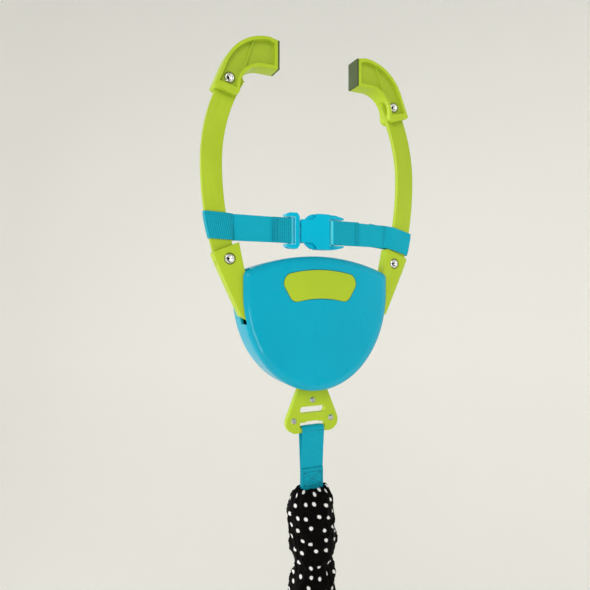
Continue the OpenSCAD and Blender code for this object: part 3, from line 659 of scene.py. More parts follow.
def stage_paint():
    """Pale matte paint that glows a little, except on the cove's dim side."""
    look = Look("stage_paint", PALE, 0.9)
    split = look.node("SeparateXYZ", Vector=look.coordinates())
    level = look.node("CombineXYZ", X=split.outputs[0], Y=split.outputs[1]).outputs[0]
    facing = look.node("VectorMath", {"operation": "NORMALIZE"}, i0=level).outputs[0]
    toward = look.node("VectorMath", {"operation": "DOT_PRODUCT"}, i0=facing,
                       i1=DIM_SIDE).outputs["Value"]
    reach = look.node("VectorMath", {"operation": "LENGTH"}, i0=level).outputs["Value"]
    side, far = [look.node("MapRange", {"interpolation_type": "SMOOTHSTEP"}, Value=value,
                           From_Min=low, From_Max=high).outputs["Result"]
                 for value, low, high in ((toward, *DIM_TURN),
                                          (reach, DIM_REACH, FLOOR_R + CURVE_R))]
    dim = look.product(side, far)
    paint = look.mix(look.noise(1.5, 3), shade(PALE, 0.985), PALE)
    look.set("Base Color", look.mix(dim, paint, shade(PALE, 0.5)))
    look.shader.inputs["Emission Color"].default_value = PALE
    look.set("Emission Strength", look.spread(dim, 0.19, 0.07))
    return look.material


def make_stage():
    """A pale round cove: floor, a wide curve and a wall, so that every view has one backdrop."""
    curve = [math.pi / 2 * k / CURVE_STEPS for k in range(1, CURVE_STEPS + 1)]
    profile = [(0.02, FLOOR_Z), (FLOOR_R, FLOOR_Z)]
    profile += [(FLOOR_R + CURVE_R * math.sin(a), FLOOR_Z + CURVE_R * (1 - math.cos(a)))
                for a in curve]
    profile.append((FLOOR_R + CURVE_R, WALL_Z))
    points = [(r * math.cos(t), r * math.sin(t), z) for r, z in profile
              for t in circle(COVE_SIDES)]
    faces = band_faces(len(profile), COVE_SIDES) + [tuple(range(COVE_SIDES))[::-1]]
    LOOKS["stage"] = stage_paint()
    stage = piece("stage", points, faces, "stage")
    world = bpy.data.worlds.new("studio")
    world.use_nodes = True
    sky = world.node_tree.nodes["Background"].inputs
    sky["Color"].default_value = (0.96, 0.98, 1.0, 1)
    sky["Strength"].default_value = 0.32
    bpy.context.scene.world = world
    bpy.context.scene.view_settings.view_transform = "Standard"


# ---- housing ----
HOUSE_HALF = FRONT_HIGH.x
HOUSE_TOP, HOUSE_LOW = FRONT_HIGH.z, FRONT_LOW.z
HOUSE_FACE, HOUSE_SPLIT, HOUSE_REAR = FRONT_LOW.y, BACK_LOW.y, BACK_HIGH.y
SIDE_Z = -221 * MM      # where the sides stop running straight down
CROWN_SAG = 16 * MM
SHOULDER_R = 8 * MM
POSTS = [(x * MM, z * MM) for x, z in ((45, -213), (-45, -213), (34, -293), (-34, -293))]
ROLL_IN, ROLL_DEEP = 9, 8       # how far in and back the front's edge rolls, in millimetres
LEVER_DOOR_X = (70 * MM, 110 * MM)      # the openings in the sides, where the levers come out
LEVER_DOOR_Z = (-251 * MM, -160 * MM)
LEVER_DOOR_REAR = -2.4 * MM
FOOT_DOOR = (22 * MM, 5 * MM, 20 * MM)  # half width, half depth and height of the one below
SCREW_R, SOCKET_R = 3.4, 4.6            # in millimetres


def housing_ring(inset, y):
    """The housing's outline drawn in by an inset: a bowed crown over half an ellipse."""
    half = HOUSE_HALF - inset
    depth = SIDE_Z - HOUSE_LOW - inset
    top = HOUSE_TOP - inset
    chord = HOUSE_HALF - 2 * MM
    big = (chord ** 2 + CROWN_SAG ** 2) / (2 * CROWN_SAG)
    r = max(SHOULDER_R - inset, MM)
    cx = half - r
    cz = top - big + math.sqrt((big - r) ** 2 - cx ** 2)
    lean = math.atan2(cz - (top - big), cx)
    turns = [math.pi * (1 + i / 80) for i in range(81)]
    low = [(half * math.cos(t), SIDE_Z + depth * math.sin(t)) for t in turns]
    right = [(cx + r * math.cos(lean * i / 10), cz + r * math.sin(lean * i / 10))
             for i in range(11)]
    arc = [lean + (math.pi - 2 * lean) * i / 40 for i in range(1, 40)]
    bow = [(big * math.cos(t), top - big + big * math.sin(t)) for t in arc]
    left = [(-x, z) for x, z in reversed(right)]
    return [Vector((x, y, z)) for x, z in low + right + bow + left]


def cover_shell(name, outer, inner):
    """A moulded shell through rings of (inset, y), outside then inside, both in millimetres."""
    return lofted(name, [housing_ring(inset * MM, y * MM) for inset, y in outer[::-1] + inner],
                  "housing")


def badge_outline(grow=0.0):
    """An arched lozenge with round corners, in the XZ plane."""
    half, top, height = BADGE_HIGH.x, BADGE_HIGH.z, 33 * MM
    bow, dip, corner = 150 * MM, 110 * MM, 4.5 * MM
    reach = half - 4 * MM
    low_reach = half - 18 * MM
    low = top - height + corner
    crown = [(reach * i / 8, top - bow + math.sqrt(bow ** 2 - (reach * i / 8) ** 2),
              corner if abs(i) == 8 else 0) for i in range(-8, 9)]
    foot = [(low_reach * i / 6, low - dip + math.sqrt(dip ** 2 - (low_reach * i / 6) ** 2), 0)
            for i in range(6, -7, -1)]
    right = [(half, top - 14 * MM, corner), (half - 11 * MM, top - height, 7 * MM)]
    left = [(-x, z, cut_back) for x, z, cut_back in reversed(right)]
    path = fillet([(Vector((x, 0, z)), cut_back)
                   for x, z, cut_back in crown + right + foot + left])
    middle = sum(path, Vector()) / len(path)
    return [p + (p - middle).normalized() * grow for p in path]


def make_housing():
    face, rear = HOUSE_FACE / MM, HOUSE_REAR / MM
    split = face + ROLL_DEEP
    roll = [math.pi / 2 * (1 - i / 14) for i in range(15)]
    front = cover_shell(
        "front_shell",
        [(ROLL_IN * (1 - math.sin(t)), face + ROLL_DEEP * (1 - math.cos(t))) for t in roll]
        + [(ROLL_IN + 1, face)],
        [(2.4, split), (3.2, face + 5.4), (5.4, face + 3.2), (ROLL_IN + 1, face + 2.5)])
    cut(front, [slab(badge_outline(0.75 * MM), HOUSE_FACE - MM, HOUSE_FACE + 1.2 * MM)])
    back = cover_shell(
        "back_shell",
        [(0.7, split), (0.7, rear - 8), (1.0, rear - 5.6), (1.8, rear - 3.4), (3.2, rear - 1.6),
         (5.2, rear - 0.5), (7.2, rear), (7.9, rear)],
        [(3.2, split), (3.2, rear - 8), (4.6, rear - 4.2), (7.2, rear - 2.5), (7.9, rear - 2.5)])
    for side in (-1, 1):
        x0, x1 = sorted(side * x for x in LEVER_DOOR_X)
        for shell in (front, back):
            cut(shell, [block((x0, HOUSE_SPLIT, LEVER_DOOR_Z[0]),
                              (x1, LEVER_DOOR_REAR, LEVER_DOOR_Z[1]))])
    half_w, half_d, height = FOOT_DOOR
    cut(back, [block((-half_w, -half_d, HOUSE_LOW - 2 * MM), (half_w, half_d, HOUSE_LOW + height))]
        + [rod(x, z, SCREW_R * MM, HOUSE_REAR - 3.5 * MM, HOUSE_REAR + MM) for x, z in POSTS])
    for shell, node in ((front, "front_cover"), (back, "back_cover")):
        shell.data.set_sharp_from_angle(angle=math.radians(40))
        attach(shell, "housing")
        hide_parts(node)


def make_sockets():
    """The sunk sockets that the four cover screws stand in."""
    rear = HOUSE_REAR / MM
    profile = [(SCREW_R, rear - 0.4), (SCREW_R, rear - 3.4), (SOCKET_R, rear - 3.4),
               (SOCKET_R, rear - 18)]
    points, faces = [], []
    for x, z in POSTS:
        faces += shifted(band_faces(len(profile), ROD_SIDES), len(points))
        points += [(x + r * MM * math.cos(t), y * MM, z + r * MM * math.sin(t))
                   for r, y in profile for t in circle(ROD_SIDES)]
    piece("screw_sockets", points, faces, "housing", "housing", sharp=40)


def make_badge():
    face = BADGE_LOW.y
    rolled = [(0.0, BADGE_HIGH.y), (0.0, face + 0.45 * MM), (0.15 * MM, face + 0.18 * MM),
              (0.45 * MM, face), (0.8 * MM, face)]
    rings = [[(p.x, y, p.z) for p in badge_outline(-inset)] for inset, y in rolled]
    made = lofted("badge", rings, "badge", "housing", sharp=40)
    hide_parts("badge_plate")


# ---- clamp ----
HEAD_H = 2.2 * MM       # how far a rivet's rolled head stands up

# A rivet's dished end from the middle out, as (radius, height, shift to the left): the radius
# and the shift in shares of the head's radius, the height in heights of the head.
PIT = ((0.16, 0.1, 0.24), (0.22, 0.5, 0.24), (0.27, 0.78, 0.22))
DISH = ((0.45, 0.86, 0.05), (0.6, 1.1, 0), (0.66, 1.36, 0), (0.72, 1.46, 0), (0.79, 1.46, 0),
        (0.86, 1.36, 0), (0.93, 1.2, 0), (0.96, 1.1, 0), (1.1, 1.1, 0), (1.13, 1.05, 0))
RIM_SHARE = 0.965       # the ring of painted shade round the head starts here, as a share of the head's radius
RIVET_SIDES = 40


def cup_rivet(node):
    """A rivet whose ends are dished, with a rolled rim and a pit off the middle; dark steel in
    its sunk faces and a dark olive ring round it are painted shade.
    """
    low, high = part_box(node)
    centre, head_r = (low + high) / 2, (high.x - low.x) / 2
    face = (high.y - low.y) / 2 - HEAD_H
    half = [(r * head_r, face + (h - 1) * HEAD_H, -shift * head_r) for r, h, shift in PIT + DISH]
    half.append((DISH[-1][0] * head_r, face, 0))
    whole = half + [(r, -y, x) for r, y, x in reversed(half)]
    rings = [[centre + Vector((x + r * math.cos(t), y, r * math.sin(t)))
              for t in circle(RIVET_SIDES)] for r, y, x in whole]
    made = lofted(node + "_rolled", rings, "steel", body_of(node), sharp=60)

    def outside(face_of):
        off = face_of.center - centre
        return math.hypot(off.x, off.z) > head_r * RIM_SHARE

    def sunk(face_of):
        return not outside(face_of) and abs(face_of.center.y - centre.y) < face - 0.25 * HEAD_H

    # A dark olive ring round the head: painted shade where it sits in the lever.
    second_look(made, "ring_shade", outside)
    # The dish's sunk faces take dark steel: painted shade in the pit.
    second_look(made, "pit_shade", sunk)
    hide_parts(node)


def roughened_and_shaded(made, look, depth):
    """Faces of a plate sunk more than depth below its two broad sides take a rougher look,
    darker as painted shade in the recess.
    """
    reach = max(abs(v.co.y - ARM_Y) for v in made.data.vertices)
    second_look(made, look, lambda face: abs(face.normal.y) > 0.9
                and abs(face.center.y - ARM_Y) < reach - depth)


def make_clamp():
    for side in ("left", "right"):
        softened(f"{side}_lever", "lime", 0.9 * MM)
        softened(f"{side}_arm", "arm", 0.8 * MM)
        # The jaw's recessed web: rougher lime, darker as painted shade.
        roughened_and_shaded(softened(f"{side}_jaw", "lime", 0.55 * MM),
                  "lime_rough_shaded", 0.8 * MM)
        softened(f"{side}_foot", "rubber", 0.5 * MM)
        cup_rivet(f"{side}_lever_rivet")
        cup_rivet(f"{side}_jaw_rivet")
    # The buckles' rounded edges take a lighter cyan: a painted highlight.
    for node in ("buckle_female", "buckle_male"):
        softened(node, "buckle", 0.8 * MM, edge="buckle_edge_highlight",
                 least=1.1 * MM)
    for node in ("buckle_latch_upper", "buckle_latch_lower"):
        softened(node, "buckle", 0.5 * MM)
    for node in ("cover_screws", "pivot_pins", "hanger_rivets", "hanger_pin", "spring_seat",
                 "spring_link", "swivel_eye", "swivel_washer"):
        dressed(node, "steel")


# ---- safety strap ----
ARM_BEND_Z = -99 * MM   # where the arm's two curves meet
ARM_LOW_R = 300 * MM
ARM_HALF = 10 * MM
ARM_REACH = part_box("right_arm")[1].x - ARM_HALF
BUCKLE_BAR_R = 1.6 * MM
SLOPE_X = 82 * MM       # out from here a half slopes, and the right one has two seams
LEFT_SLOPE, RIGHT_SLOPE = -0.03, 0.27
LONG_STEPS = 14         # what a long stretch is split into, so that all rows agree


def arm_centre(z):
    return ARM_REACH - ARM_LOW_R + math.sqrt(ARM_LOW_R ** 2 - (z - ARM_BEND_Z) ** 2)


def strap_line(z, side, bar, fold, end, wrap):
    """One thread of the safety strap at height z: folded round the buckle's bar, along to the
    arm, round it, and back to its sewn end. wrap is 1 if it passes behind the arm first."""
    slope = RIGHT_SLOPE if wrap < 0 else LEFT_SLOPE
    loop = BUCKLE_BAR_R + GAP + WEB_T / 2
    off = wrap * (ARM_T / 2 + GAP + WEB_T / 2)
    lap = WEB_T + 0.1 * MM
    edge = arm_centre(z) + ARM_HALF + GAP + WEB_T / 2
    inner = arm_centre(z) - ARM_HALF
    neck = bar + 7 * MM
    turn = [(bar - loop * math.sin(t), -loop * math.cos(t), 0)
            for t in [math.pi * k / 10 for k in range(11)]]
    corners = [(bar + fold, -lap, 0), (neck, -lap, 3 * MM), *turn, (neck, 0, 3 * MM),
               (inner - 8 * MM, 0, 3 * MM), (inner - 1.5 * MM, off, 3 * MM),
               (edge, off, 2.2 * MM), (edge, -off, 2.2 * MM), (inner - 1.5 * MM, -off, 3 * MM),
               (end + 0.5 * MM, -wrap * lap, 0), (end, -wrap * lap, 0)]
    path = fillet([(Vector((side * x, ARM_Y + y, z - slope * max(0.0, x - SLOPE_X))), cut_back)
                   for x, y, cut_back in corners])
    made = [path[0]]
    for a, b in zip(path, path[1:]):
        parts = LONG_STEPS if (a - b).length > 6 * MM else 1
        made += [a.lerp(b, (k + 1) / parts) for k in range(parts)]
    return made


def along_tape(made, look, *ranges):
    """Faces of a ribbon between the given distances along it take another look."""
    layer = made.data.uv_layers[0].data

    def within(face):
        v = sum(layer[k].uv[1] for k in face.loop_indices) / face.loop_total
        return any(a <= v <= b for a, b in ranges)

    second_look(made, look, within)


def make_safety_strap(side, bar, fold, end, wrap, body, node):
    heights = np.linspace(STRAP_LOW.z, STRAP_HIGH.z, 9)
    rows = [strap_line(float(z), side, bar, fold, end, wrap) for z in heights]
    made = ribbon(node + "_webbing", rows, "webbing", body)
    total = path_length(rows[len(rows) // 2])
    front = ARM_Y - WEB_T * 1.5 - 0.15 * MM
    seams = [(bar + fold - back, front - 0.08 * MM) for back in (1.5 * MM, 4.5 * MM)]
    if wrap > 0:
        along_tape(made, "doubled", (0, fold), (total - 32 * MM, total))
        seams.append((end + 1.4 * MM, front - 0.1 * MM))
    else:
        along_tape(made, "folded", (0, fold))
        seams += [(x, ARM_Y - WEB_T / 2 - 0.1 * MM) for x in (SLOPE_X, SLOPE_X + 2.5 * MM)]
    # A lighter band just past the fold: a painted highlight on its crest.
    along_tape(made, "crest_highlight", (fold + 1.3 * MM, fold + 3.2 * MM))
    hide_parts(node)
    low, high = STRAP_LOW.z + 1.5 * MM, STRAP_HIGH.z - 1.5 * MM
    sewn(node + "_stitches", [[(side * x, y, low), (side * x, y, high)] for x, y in seams], body,
         length=2.2 * MM, gap=0.6 * MM, radius=0.28 * MM)


# ---- hanger and drop strap ----
BAR_Z = -361 * MM
BAR_R = 3 * MM
LINK_R = 2 * MM
LINK_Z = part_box("spring_link")[1].z - LINK_R - 0.2 * MM
JOIN_Z = -402 * MM      # where the two layers of the drop strap come together
SPLIT_Z = LINK_Z + 14 * MM      # and where they part again
ACROSS = Vector((1, 0, 0))


def make_drop_strap():
    top = BAR_R + GAP + WEB_T / 2
    low = LINK_R + GAP + WEB_T / 2
    half = WEB_T / 2 + 0.05 * MM
    over = [(-top * math.cos(t), BAR_Z + top * math.sin(t), 0)
            for t in [math.pi * k / 14 for k in range(15)]]
    under = [(low * math.cos(t), LINK_Z - low * math.sin(t), 0)
             for t in [math.pi * k / 12 for k in range(13)]]
    corners = [*over, (half, JOIN_Z, 4 * MM), (half, SPLIT_Z, 4 * MM),
               *under, (-half, SPLIT_Z, 4 * MM), (-half, JOIN_Z, 4 * MM)]
    path = fillet([(Vector((0, y, z)), cut_back) for y, z, cut_back in corners])
    path = refined(path + [path[0]], 2 * MM)[:-1]
    loop = ribbon("drop_webbing", straight_rows(path, ACROSS, WEB_W), "hanging", "drop",
                  closed=True)
    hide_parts("drop_strap")
    y, z0, z1 = -half - WEB_T - 0.05 * MM, LINK_Z + 15 * MM, JOIN_Z - 2 * MM
    lap = [Vector((0, y + 0.3 * MM, JOIN_Z + 1.5 * MM)), Vector((0, y, z1)), Vector((0, y, z0)),
           Vector((0, y - 1.2 * MM, LINK_Z + 6 * MM))]
    patch = ribbon("drop_webbing_lap",
                   straight_rows(refined(lap, 2 * MM), ACROSS, WEB_W - 0.4 * MM),
                   "doubled", "drop")
    face = y - WEB_T / 2 - 0.1 * MM
    lines = [[(x, face, z) for x, z in line]
             for line in crossed_box(WEB_W / 2 - 2.5 * MM, z0, z1)]
    sewn("drop_stitches", lines, "drop", length=2.2 * MM, gap=0.7 * MM, radius=0.26 * MM)


# ---- springs ----
WIRE_R = 1.7 * MM
HOOK_R = 9 * MM
HOOK_TURN, HOOK_STEPS = math.radians(320), 28
RETURN_WIRE_R = 0.9 * MM
WIRE_SIDES = 8


def hook(r, z, facing):
    """A hook from the end of a coil round to its middle; facing is 1 above it, -1 below."""
    made = []
    for i in range(1, HOOK_STEPS + 1):
        t = HOOK_TURN * i / HOOK_STEPS
        ease = max(0.0, math.cos(min(t, math.pi / 2) * 2) * 0.5 + 0.5)
        made.append(Vector((r * ease, facing * HOOK_R * math.sin(t),
                            z + facing * HOOK_R * (1 - math.cos(t)))))
    return made


def coil(r, z0, z1, turns, per_turn):
    number = turns * per_turn
    return [Vector((r * math.cos(2 * math.pi * i / per_turn),
                    r * math.sin(2 * math.pi * i / per_turn), z0 + (z1 - z0) * i / number))
            for i in range(number + 1)]


def make_springs():
    r = SPRING_HIGH.x - WIRE_R
    low, high = SPRING_LOW.z + WIRE_R + 2 * HOOK_R, SPRING_HIGH.z - WIRE_R - 2 * HOOK_R
    path = hook(r, low, -1)[::-1] + coil(r, low, high, 30, 20) + hook(r, high, 1)
    spring = tube("bounce_spring", path, WIRE_R, "wire", WIRE_SIDES)
    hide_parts("main_spring")
    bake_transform(spring)
    box_low, box_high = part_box("return_spring")
    path = coil(box_high.x - RETURN_WIRE_R, box_low.z + RETURN_WIRE_R,
                box_high.z - RETURN_WIRE_R, 7, 24)
    back = tube("clamp_spring", path, RETURN_WIRE_R, "wire", WIRE_SIDES)
    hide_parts("return_spring")
    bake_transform(back)


# ---- sleeve ----
SLEEVE_GATHERS = (78 * MM, 148 * MM, 222 * MM)  # how far down the cloth is drawn in
PUFF_R = 23.4 * MM      # mean reach of a puff
GATHER_IN = 4.6 * MM
HEM_IN = 8.2 * MM
SLEEVE_AROUND, SLEEVE_LEVELS = 132, 300


def sleeve_radius(turn, down, length):
    """Reach of the sleeve's cloth at an angle, down from its top hem: puffs between gathers,
    slanting creases, and pleats drawn up by the elastic at each hem."""
    slant = down + 6 * MM * math.sin(turn + 0.7)
    neck = max(math.exp(-((slant - g) / (11 * MM)) ** 2) for g in SLEEVE_GATHERS)
    hem = max(math.exp(-down / (8 * MM)), math.exp(-(length - down) / (8 * MM)))
    reach = PUFF_R - GATHER_IN * neck * (1 + 0.25 * math.sin(2 * turn + 40 * down))
    reach -= HEM_IN * hem
    place = Vector((math.cos(turn) * 1.1, math.sin(turn) * 1.1, down * 26))
    crease = 1 - abs(math.sin(2.5 * turn + 58 * down + 2.2 * noise.noise(place)))
    cross = 1 - abs(math.sin(1.5 * turn - 41 * down + 3.0 * noise.noise(place * 1.7)))
    soft = noise.fractal(place * 2.1 + Vector((7, 3, 1)), 0.8, 2.0, 3)
    reach += (1.9 * crease ** 3 + 1.3 * cross ** 4 + 1.5 * soft) * MM * (1 - 0.6 * hem)
    pleat = math.sin(17 * turn + 3 * noise.noise(place * 0.8))
    return reach + 0.9 * MM * pleat * (hem + 0.55 * neck)


def make_sleeve():
    length = SLEEVE_HIGH.z - SLEEVE_LOW.z
    points, uv = [], []
    for i in range(SLEEVE_LEVELS + 1):
        down = length * i / SLEEVE_LEVELS
        hem_top = math.exp(-down / (9 * MM))
        flat = 1 - 0.34 * hem_top
        sway = Vector((2.4 * MM * math.sin(down * 38 - 1.3), 1.5 * MM * math.sin(down * 29), 0))
        sway *= min(1, down / (30 * MM), (length - down) / (30 * MM))
        for k in range(SLEEVE_AROUND + 1):
            turn = 2 * math.pi * k / SLEEVE_AROUND + math.pi / 2
            r = sleeve_radius(turn, down, length)
            ragged = 1.6 * MM * noise.noise(Vector((math.cos(turn) * 2, math.sin(turn) * 2, 5)))
            z = SLEEVE_HIGH.z - down - (ragged + 1.2 * MM) * hem_top
            points.append(Vector((r * math.cos(turn), r * math.sin(turn) * flat, z)) + sway)
            uv.append((k / SLEEVE_AROUND * 150 * MM - 0.22 * down,
                       down * 1.06 + 0.8 * MM * math.sin(turn * 3)))
    row = SLEEVE_AROUND + 1
    faces = [(i * row + k, i * row + k + 1, (i + 1) * row + k + 1, (i + 1) * row + k)
             for i in range(SLEEVE_LEVELS) for k in range(SLEEVE_AROUND)]
    sleeve = turned_out(piece("sleeve_cloth", points, faces, "dotted", uv=uv), weld=1e-7)
    thickened(sleeve, 0.6 * MM)
    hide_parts("spring_sleeve")
    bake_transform(sleeve)


# ---- seat straps ----
CORNER_R = 80 * MM      # the waist band's corner, which each strap lies against
CORNER = (BAND_HIGH.x - CORNER_R, BAND_HIGH.y - CORNER_R)
RIM_Z = BAND_HIGH.z
CORNERS = [(sx, sy) for sx in (-1, 1) for sy in (-1, 1)]
SEAT_BAR = -12 * MM     # where a strap folds over the spreader, out from its corner's centre
SEAT_BAR_HALF = 2.5 * MM
LAP_OUT = 9.3 * MM      # where its fold is sewn down, out from the bar
LAP_Z = SPREADER_LOW.z - 40 * MM
LAP_LEAN = 0.17         # how much a strap runs outwards on its way down from there


def corner_frame(sx, sy):
    """A corner's centre, its outward direction and its tangent."""
    out = Vector((sx, sy, 0)).normalized()
    return Vector((sx * CORNER[0], sy * CORNER[1], 0)), out, Vector((-out.y, out.x, 0))


def seat_strap_path():
    """Centre line of a seat strap in its corner's plane: sewn end, over the spreader's bar,
    down to the rim and down the band. Each corner is (outwards, height, cut back)."""
    half = SEAT_BAR_HALF + GAP + WEB_T / 2
    top = SPREADER_HIGH.z + GAP + WEB_T / 2
    out = CORNER_R + GAP + WEB_T / 2
    corners = [(SEAT_BAR + 7.3 * MM, LAP_Z + 3 * MM, 0),
               (SEAT_BAR - half, SPREADER_LOW.z - 13 * MM, 8 * MM),
               (SEAT_BAR - half, top, 1.4 * MM), (SEAT_BAR + half, top, 1.4 * MM),
               (SEAT_BAR + half, SPREADER_LOW.z - 5 * MM, 8 * MM),
               (SEAT_BAR + LAP_OUT, LAP_Z, 20 * MM), (out, RIM_Z - MM, 8 * MM),
               (out, RIM_Z - 46 * MM, 0)]
    return refined(fillet([(Vector((x, 0, z)), cut_back) for x, z, cut_back in corners]), 5 * MM)


def make_seat_straps():
    path = seat_strap_path()
    reach = CORNER_R + GAP + WEB_T + 0.1 * MM
    x = WEB_W / 2 - 3 * MM
    box = crossed_box(x, RIM_Z - 43 * MM, RIM_Z - 12 * MM)
    lap_x = SEAT_BAR + LAP_OUT + WEB_T / 2 + 0.25 * MM
    for sx, sy in CORNERS:
        centre, out, side = corner_frame(sx, sy)
        node = f"seat_strap_{'front' if sy < 0 else 'back'}_{'left' if sx < 0 else 'right'}"
        line = [centre + out * p.x + up(p.z) for p in path]
        strap = ribbon(node + "_webbing", straight_rows(line, side, WEB_W), "webbing", "seat")
        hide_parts(node)
        seams = [[centre + out * reach + side * a + up(z) for a, z in seam] for seam in box]
        for z in (LAP_Z + MM, LAP_Z - 2 * MM):
            seams.append([centre + out * (lap_x + LAP_LEAN * (LAP_Z - z)) + side * a + up(z)
                          for a in (-x, x)])
        sewn(node + "_stitches", seams, "seat", length=2.4 * MM, gap=0.7 * MM,
             radius=0.3 * MM)


# ---- waist band ----
BAND_T = 14 * MM
BAND_H = BAND_HIGH.z - BAND_LOW.z
BAND_MID = (BAND_HIGH.z + BAND_LOW.z) / 2
CHANNELS = (-0.17, 0.17)        # heights of the two quilted lines, in shares of the band's
HALF_STEPS = 34


def round_samples(step):
    """Samples round the band's outline: a share of the straight half widths and a heading."""
    made = []
    arc_steps = max(4, round(CORNER_R * math.pi / 2 / step))
    for quarter, (u, v) in enumerate([(1, 1), (-1, 1), (-1, -1), (1, -1)]):
        made += [(u, v, (quarter + i / arc_steps) * math.pi / 2) for i in range(arc_steps)]
        steps = max(2, round(2 * CORNER[quarter % 2] / step))
        heading = (quarter + 1) * math.pi / 2
        for i in range(steps):
            slide = 1 - 2 * i / steps
            made.append((u * slide, v, heading) if quarter % 2 == 0 else (u, v * slide, heading))
    return made


def round_point(sample, half_x, half_y, corner, z):
    u, v, heading = sample
    return Vector((u * (half_x - corner) + corner * math.cos(heading),
                   v * (half_y - corner) + corner * math.sin(heading), z))


def walked(samples, half_x, half_y, corner, z):
    """Each sample with its point on a rounded rectangle and the way walked to it."""
    run, last = 0.0, None
    for sample in samples:
        place = round_point(sample, half_x, half_y, corner, z)
        run += (place - last).length if last is not None else 0
        last = place
        yield sample, place, run


def heading_of(sample):
    return Vector((math.cos(sample[2]), math.sin(sample[2]), 0))


def sewn_weight(place):
    """1 where a seat strap is sewn on the waist band, falling to 0 around it."""
    best = 0.0
    for sx, sy in CORNERS:
        centre, out, side = corner_frame(sx, sy)
        from_centre = Vector((place.x, place.y, 0)) - centre
        if from_centre.dot(out) > CORNER_R * 0.7:
            across = max(0.0, abs(from_centre.dot(side)) - WEB_W / 2)
            below = max(0.0, RIM_Z - 48 * MM - place.z)
            best = max(best, math.exp(-((across / (7 * MM)) ** 2 + (below / (9 * MM)) ** 2)))
    return best


def rim_fade(z):
    """1 over most of the band's height, falling to 0 at its two edges."""
    return max(0.0, 1 - (2 * z / BAND_H) ** 8)


def band_face(sample, run, z, side):
    """A point on the padded band: side is 1 on its outer face, -1 on its inner one."""
    edge = round_point(sample, BAND_HIGH.x, BAND_HIGH.y, CORNER_R, BAND_MID)
    off = min(abs(z - h * BAND_H) for h in CHANNELS)
    spot = edge * 24 + up(z * 30 + side)
    plump = (1 - math.exp(-(off / (3.6 * MM)) ** 2)) * (0.8 + 0.2 * noise.noise(spot * 0.7))
    pucker = math.sin(run / (3.4 * MM) + 2.4 * noise.noise(spot)) \
        * math.exp(-(off / (8 * MM)) ** 2)
    wrinkle = noise.fractal(spot, 0.8, 2.0, 4)
    face = BAND_T / 2 - 4.2 * MM + (3.6 * plump + 0.7 * pucker + 0.9 * wrinkle) * MM
    return edge + heading_of(sample) * (side * face * rim_fade(z) ** 0.4 - BAND_T / 2) + up(z)


def band_seams(walk):
    """Quilting lines round the band, left out where a seat strap is sewn over them."""
    seams = []
    for h in CHANNELS:
        line = []
        for sample, edge, run in walk:
            place = band_face(sample, run, h * BAND_H, 1)
            if sewn_weight(place) > 0.5:
                seams.append(line)
                line = []
            else:
                line.append(place + heading_of(sample) * 0.1 * MM)
        seams.append(line)
    return [line for line in seams if len(line) > 2]


def unwrapped(made, total):
    """Where a closed ring's last faces run back to zero, their far corners go on past it."""
    layer = made.data.uv_layers[0].data
    for face in made.data.polygons:
        us = [layer[k].uv[0] for k in face.loop_indices]
        if max(us) - min(us) > total / 2:
            for k in face.loop_indices:
                if layer[k].uv[0] < total / 2:
                    layer[k].uv[0] += total


def make_waist_band():
    samples = round_samples(2.6 * MM)
    start = next(i for i, s in enumerate(samples) if s[2] == math.pi / 2 and s[0] <= 0)
    samples = samples[start:] + samples[:start]
    walk = list(walked(samples, BAND_HIGH.x, BAND_HIGH.y, CORNER_R, BAND_MID))
    heights = [(BAND_H / 2 - 0.4 * MM) * math.sin(math.pi / 2 * (2 * k / HALF_STEPS - 1))
               for k in range(HALF_STEPS + 1)]
    section = [(z, 1) for z in heights] + [(z, -1) for z in heights[-2:0:-1]]
    points, uv = [], []
    for sample, edge, run in walk:
        for z, side in section:
            place = band_face(sample, run, z, side)
            if side > 0:
                held = edge + heading_of(sample) * (-1.2 * MM) + up(z)
                held = Vector((held.x, held.y, place.z))
                place = place.lerp(held, sewn_weight(place) * rim_fade(z))
            points.append(place)
            uv.append((run, z * 1.05 if side > 0 else BAND_H - z * 1.05))
    faces = band_faces(len(samples), len(section), closed_rings=True)
    band = turned_out(piece("band_padding", points, faces, "dotted", uv=uv))
    unwrapped(band, walk[-1][2])
    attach(band, "seat")
    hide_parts("waist_band")
    sewn("band_stitches", band_seams(walk), "seat", length=3.0 * MM, gap=1.4 * MM,
         radius=0.34 * MM, look="cuff")
    for name, z, inset in (("top", BAND_HIGH.z - 1.2 * MM, 7 * MM),
                           ("low", BAND_LOW.z + 2.0 * MM, 4.5 * MM)):
        path = [round_point(s, BAND_HIGH.x - inset, BAND_HIGH.y - inset, CORNER_R - inset, z)
                for s in samples[::2]]
        tube(f"band_piping_{name}", path, 2.1 * MM, "cuff", 12, "seat", closed=True)


# ---- bucket and leg cuffs ----
CUFF_LOW, CUFF_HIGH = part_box("leg_cuff_left")
LEG_Y, LEG_Z = -14 * MM, (CUFF_LOW.z + CUFF_HIGH.z) / 2
LEG_R = 50 * MM
LEG_X = 60 * MM         # the legs' openings lie further out than this
BUCKET_RINGS = [(0.0, 0, 0, 0), (0.25, 0, 0, 0), (0.65, 22, 16, 14), (0.87, 56, 40, 22),
                (1.0, 84, 66, 48)]  # share of the depth, then what each size has lost there
BUCKET_INSET = BAND_T + GAP
BUCKET_T = 3.2 * MM
BASE_RINGS = (0.86, 0.7, 0.52, 0.34, 0.17)      # sizes of the rings that close the bottom
SLUMP_FRAMES = 24
SLUMP = {"vertex_group_mass": "held", "mass": 0.25, "quality": 5, "tension_stiffness": 12,
         "compression_stiffness": 12, "shear_stiffness": 6, "bending_stiffness": 0.4,
         "air_damping": 3, "shrink_min": -0.05}
CUFF_STEPS, CUFF_GATHERS = 220, 34


